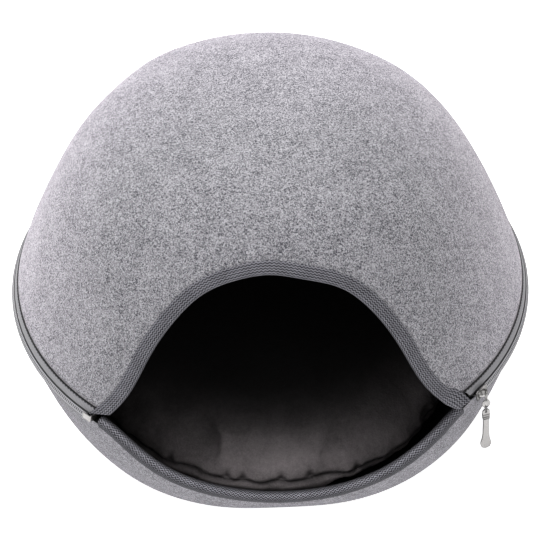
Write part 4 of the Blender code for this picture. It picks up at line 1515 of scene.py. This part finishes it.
CUSHION = (
    ("share", "height"),
    (0.30, 0.0555),
    (0.58, 0.0530),
    (0.80, 0.0472),
    (0.93, 0.0405),
    (1.00, 0.0315),
    (1.01, 0.0225),
    (0.96, 0.0130),
    (0.88, 0.0070),
    (0.80, 0.0048),
)
CUSHION_RADIUS = 0.158
CUSHION_CENTRE = np.array([-0.0035, -0.0060, 0.0])
CUSHION_TOP = 0.053
CUSHION_UNDER = 0.0048
CUSHION_SEAM = 0.0265
CUSHION_EASE = 1.03  # gives back the width that swelling draws in
SWELLING_STEPS = 20
PUCKERS = (-158.0, -121.0, -74.0, -29.3, -11.7, -7.2, 3.9, 12.2, 26.0, 71.0, 118.0, 163.0)


def cushion_outline(azimuth):
    """Radius round the cushion's seam: a circle with slight two and three lobed unevenness."""
    angle = np.radians(azimuth)
    return CUSHION_RADIUS * (1 + 0.012 * np.cos(2 * angle + 0.6) + 0.008 * np.sin(3 * angle))


def cushion_start():
    """The cushion before its filling swells: the section turned round its centre, drawn in a little."""
    share, height = np.hsplit(evenly(rows(CUSHION), 30), 2)
    azimuth = np.linspace(0, 360, 96, endpoint=False)
    radius = cushion_outline(azimuth) * share - 0.002
    height = np.where(height > 0.03, height - 0.003, height)
    grid = around(azimuth, radius, height)[::-1] + CUSHION_CENTRE
    top, under = CUSHION_CENTRE + (0, 0, CUSHION_TOP), CUSHION_CENTRE + (0, 0, CUSHION_UNDER)
    return outward_faces(sheet("cushion_start", grid, wrap=True, pole=top, foot=under))


def swollen(mesh, most):
    """The mesh after its filling has pushed it out: a cloth under pressure for a few steps, no point moved
    further than the most given."""
    scene = bpy.context.scene
    obj = linked("cushion_swelling", mesh)
    remesh = obj.modifiers.new("even", "REMESH")
    remesh.mode = "VOXEL"
    remesh.voxel_size = 0.0055
    even = finished(obj)
    obj.modifiers.remove(remesh)
    obj.data = even
    before = coordinates(even)
    cloth = obj.modifiers.new("filling", "CLOTH")
    for setting, value in (
        ("quality", 5),
        ("mass", 0.3),
        ("tension_stiffness", 18),
        ("compression_stiffness", 18),
        ("bending_stiffness", 1.2),
        ("use_pressure", True),
        ("uniform_pressure_force", 4.0),
    ):
        setattr(cloth.settings, setting, value)
    cloth.settings.effector_weights.gravity = 0.0
    cloth.point_cache.frame_start = 1
    cloth.point_cache.frame_end = SWELLING_STEPS
    for step in range(1, SWELLING_STEPS + 1):
        scene.frame_set(step)
    after = finished(obj)
    scene.frame_set(1)
    moved = coordinates(after) - before
    far = np.linalg.norm(moved, axis=1, keepdims=True)
    kept = moved * np.minimum(1, most / np.maximum(far, 1e-9))
    even.vertices.foreach_set("co", (before + kept).astype(np.float32).ravel())
    bpy.data.objects.remove(obj)
    return even


def coordinates(mesh):
    points = np.empty(len(mesh.vertices) * 3, np.float32)
    mesh.vertices.foreach_get("co", points)
    return points.reshape(-1, 3).astype(float)


def subdivided(mesh):
    """Two levels of smooth subdivision, applied."""
    obj = linked("cushion_fine", mesh)
    finer = obj.modifiers.new("finer", "SUBSURF")
    finer.levels = finer.render_levels = 2
    result = finished(obj)
    bpy.data.objects.remove(obj)
    return result


def bell(distance, width):
    """One at no distance, falling away on both sides as a Gaussian of the width."""
    return np.exp(-((distance / width) ** 2))


def sew_cushion(mesh, depth):
    """Seam and puckers. The seam line runs round at a nearly even height. Points near it are drawn towards
    the middle by a bell of the distance to it. Short creases swell and sink along the azimuth on both sides,
    and narrow puckers run up from it, each a bell of the azimuth. A point attribute is high in both, and the
    plush paints shade there. Two slow sine products leave the top uneven."""
    local = (coordinates(mesh) - CUSHION_CENTRE) * (CUSHION_EASE, CUSHION_EASE, 1)
    x, y, z = local.T
    azimuth = azimuth_of(local)
    angle = np.radians(azimuth)
    radius = np.hypot(x, y)
    seam = CUSHION_SEAM - 0.0036 * np.sin(angle) + 0.0007 * np.sin(5 * angle + 1)
    away = z - seam - 0.0006 * np.sin(9 * angle)
    side = smooth((radius / CUSHION_RADIUS - 0.80) / 0.1)
    creases = np.sin(23 * angle + 2.2 * np.sin(4 * angle))
    creases = creases + 0.7 * np.sin(41 * angle + 1.3 * np.sin(7 * angle))
    puckers = sum(bell(azimuth - middle, 1.1) for middle in PUCKERS)
    puckers = puckers * bell(away, 0.0065) * smooth((away - 0.0004) / 0.003)
    drawn = bell(away, 0.0024)
    inward = side * (depth * drawn + 0.0009 * bell(away, 0.0085) * creases + 0.0035 * puckers)
    out = local * (1, 1, 0) / np.maximum(radius, 1e-6)[:, None]
    points = local + CUSHION_CENTRE - out * inward[:, None]
    height = z - (np.sign(away) * 0.0006 * drawn + 0.0015 * puckers) * side
    swirl = 0.0010 * np.sin(14 * x + 1.2) * np.sin(17 * y + 0.3) + 0.0006 * np.sin(39 * x - 21 * y)
    height = height + swirl * smooth((height - 0.036) / 0.01)
    points[:, 2] = np.maximum(height, CUSHION_UNDER)
    mesh.vertices.foreach_set("co", points.astype(np.float32).ravel())
    # mask of the seam and the puckers, for the plush's painted shade there
    sewn = np.maximum(bell(away, 0.0016), puckers) * side
    mesh.attributes.new("SeamShade", "FLOAT", "POINT").data.foreach_set("value", sewn.astype(np.float32))
    mesh.update()


class CATCAVE_OT_cushion(bpy.types.Operator):
    """Adds the loose plush cushion"""

    bl_idname = "cat_cave.cushion"
    bl_label = "Add Cushion"

    def execute(self, context):
        sizes = context.scene.cat_cave_sizes
        mesh = cushion_start()
        mesh = swollen(mesh, sizes.cushion_swell)
        mesh = subdivided(mesh)
        sew_cushion(mesh, sizes.seam)
        mesh.materials.clear()
        plush = material_set()["plush"]
        piece = add_piece("cushion_plush", mesh, plush, ["cushion"], smooth_angle=180)
        return {"FINISHED"}


# --- stage ------------------------------------------------------------------

FLOOR_REACH = 2.4
FLOOR_THICKNESS = 0.01
FLOOR_GLOW = 0.8
WORLD_STRENGTH = 0.46
CAMERA_ELEVATION = math.radians(43.63)
CAMERA_DISTANCE = 1.2
CAMERA_AIM = Vector((0, 0, 0.0947))
CAMERA_ROLL = -0.0115
CAMERA_LENS = 101.8  # millimetres, on a 36 mm sensor
LIGHT_AIM = Vector((0, 0, 0.12))
LIGHTS = (
    ("name", "place", "size", "power"),
    ("overhead", (-0.35, 0.45, 1.9), 1.8, 56.5),
    ("front_left", (-1.3, -1.0, 1.8), 1.2, 4.3),
    ("front_right", (1.5, -1.4, 1.0), 1.0, 3.0),
)


def aimed(place, aim):
    """Frame at a place whose -Z looks at the aim."""
    return Matrix.Translation(place) @ (aim - place).to_track_quat("-Z", "Y").to_matrix().to_4x4()


class CATCAVE_OT_stage(bpy.types.Operator):
    """Adds the floor, the soft lights and the camera"""

    bl_idname = "cat_cave.stage"
    bl_label = "Add Stage"

    def execute(self, context):
        scene = context.scene
        self.add_floor(scene)
        self.add_world(scene)
        self.add_lights()
        self.add_camera(scene)
        scene.view_settings.view_transform = "Standard"
        return {"FINISHED"}

    def add_floor(self, scene):
        """A round pale floor that gives off a little light, so that it stays pale under the cave."""
        plate = round_plate(FLOOR_REACH, FLOOR_REACH, FLOOR_THICKNESS, 0.005, 96)
        mesh = plate_piece("floor", plate - (0, 0, FLOOR_THICKNESS / 2), Matrix.Identity(4))
        made, tree, shader = new_material("Pale Floor", 0.9)
        if tree is not None:
            grain = tree.noise(tree.node("ShaderNodeTexCoord").outputs["Object"], 3.0, 2.0)
            colour = tree.shade(rgba(scene.cat_cave_colours.floor), tree.ramp(grain, 0, 1, 0.99, 1.01))
            tree.feed(shader.inputs["Base Color"], colour)
            shader.inputs["Emission Color"].default_value = (1.0, 1.0, 1.0, 1.0)
            shader.inputs["Emission Strength"].default_value = FLOOR_GLOW
        mesh.materials.append(made)
        linked("floor", mesh)

    def add_world(self, scene):
        world = bpy.data.worlds.new("Soft White")
        world.use_nodes = True
        background = world.node_tree.nodes["Background"]
        background.inputs["Color"].default_value = (1.0, 1.0, 1.0, 1.0)
        background.inputs["Strength"].default_value = WORLD_STRENGTH
        scene.world = world

    def add_lights(self):
        """Soft round boxes aimed at the cave."""
        for name, place, size, power in LIGHTS[1:]:
            light = bpy.data.lights.new(name, "AREA")
            light.shape = "DISK"
            light.size = size
            light.energy = power
            linked(name, light).matrix_world = aimed(Vector(place), LIGHT_AIM)

    def add_camera(self, scene):
        """The camera looks down at the mouth from straight in front, with a slight roll."""
        back = Vector((0, -math.cos(CAMERA_ELEVATION), math.sin(CAMERA_ELEVATION)))
        camera = bpy.data.cameras.new("camera")
        camera.lens = CAMERA_LENS
        camera.sensor_width = 36.0
        camera.clip_start = 0.05
        scene.camera = linked("camera", camera)
        place = aimed(CAMERA_AIM + back * CAMERA_DISTANCE, CAMERA_AIM)
        scene.camera.matrix_world = place @ Matrix.Rotation(CAMERA_ROLL, 4, "Z")


# --- panel and registration -------------------------------------------------


class CATCAVE_PT_panel(bpy.types.Panel):
    """Sizes, colours and pieces of the cat cave"""

    bl_idname = "CATCAVE_PT_panel"
    bl_label = "Cat Cave"
    bl_space_type = "VIEW_3D"
    bl_region_type = "UI"
    bl_category = "Cat Cave"

    def draw(self, context):
        scene = context.scene
        for label, group in (("Sizes", scene.cat_cave_sizes), ("Colours", scene.cat_cave_colours)):
            box = self.layout.box()
            box.label(text=label)
            for key in group.__annotations__:
                box.prop(group, key)
        for operator in OPERATORS:
            self.layout.operator(operator.bl_idname)


OPERATORS = (
    CATCAVE_OT_shells,
    CATCAVE_OT_bindings,
    CATCAVE_OT_zip,
    CATCAVE_OT_fittings,
    CATCAVE_OT_cushion,
    CATCAVE_OT_stage,
)
CLASSES = (CatCaveSizes, CatCaveColours, *OPERATORS, CATCAVE_PT_panel)


def register():
    for each in CLASSES:
        bpy.utils.register_class(each)
    bpy.types.Scene.cat_cave_sizes = PointerProperty(type=CatCaveSizes)
    bpy.types.Scene.cat_cave_colours = PointerProperty(type=CatCaveColours)


def unregister():
    del bpy.types.Scene.cat_cave_colours
    del bpy.types.Scene.cat_cave_sizes
    for each in reversed(CLASSES):
        bpy.utils.unregister_class(each)


def main():
    register()
    bpy.ops.cat_cave.shells()
    bpy.ops.cat_cave.bindings()
    bpy.ops.cat_cave.zip()
    bpy.ops.cat_cave.fittings()
    bpy.ops.cat_cave.cushion()
    bpy.ops.cat_cave.stage()


if __name__ == "__main__":
    main()
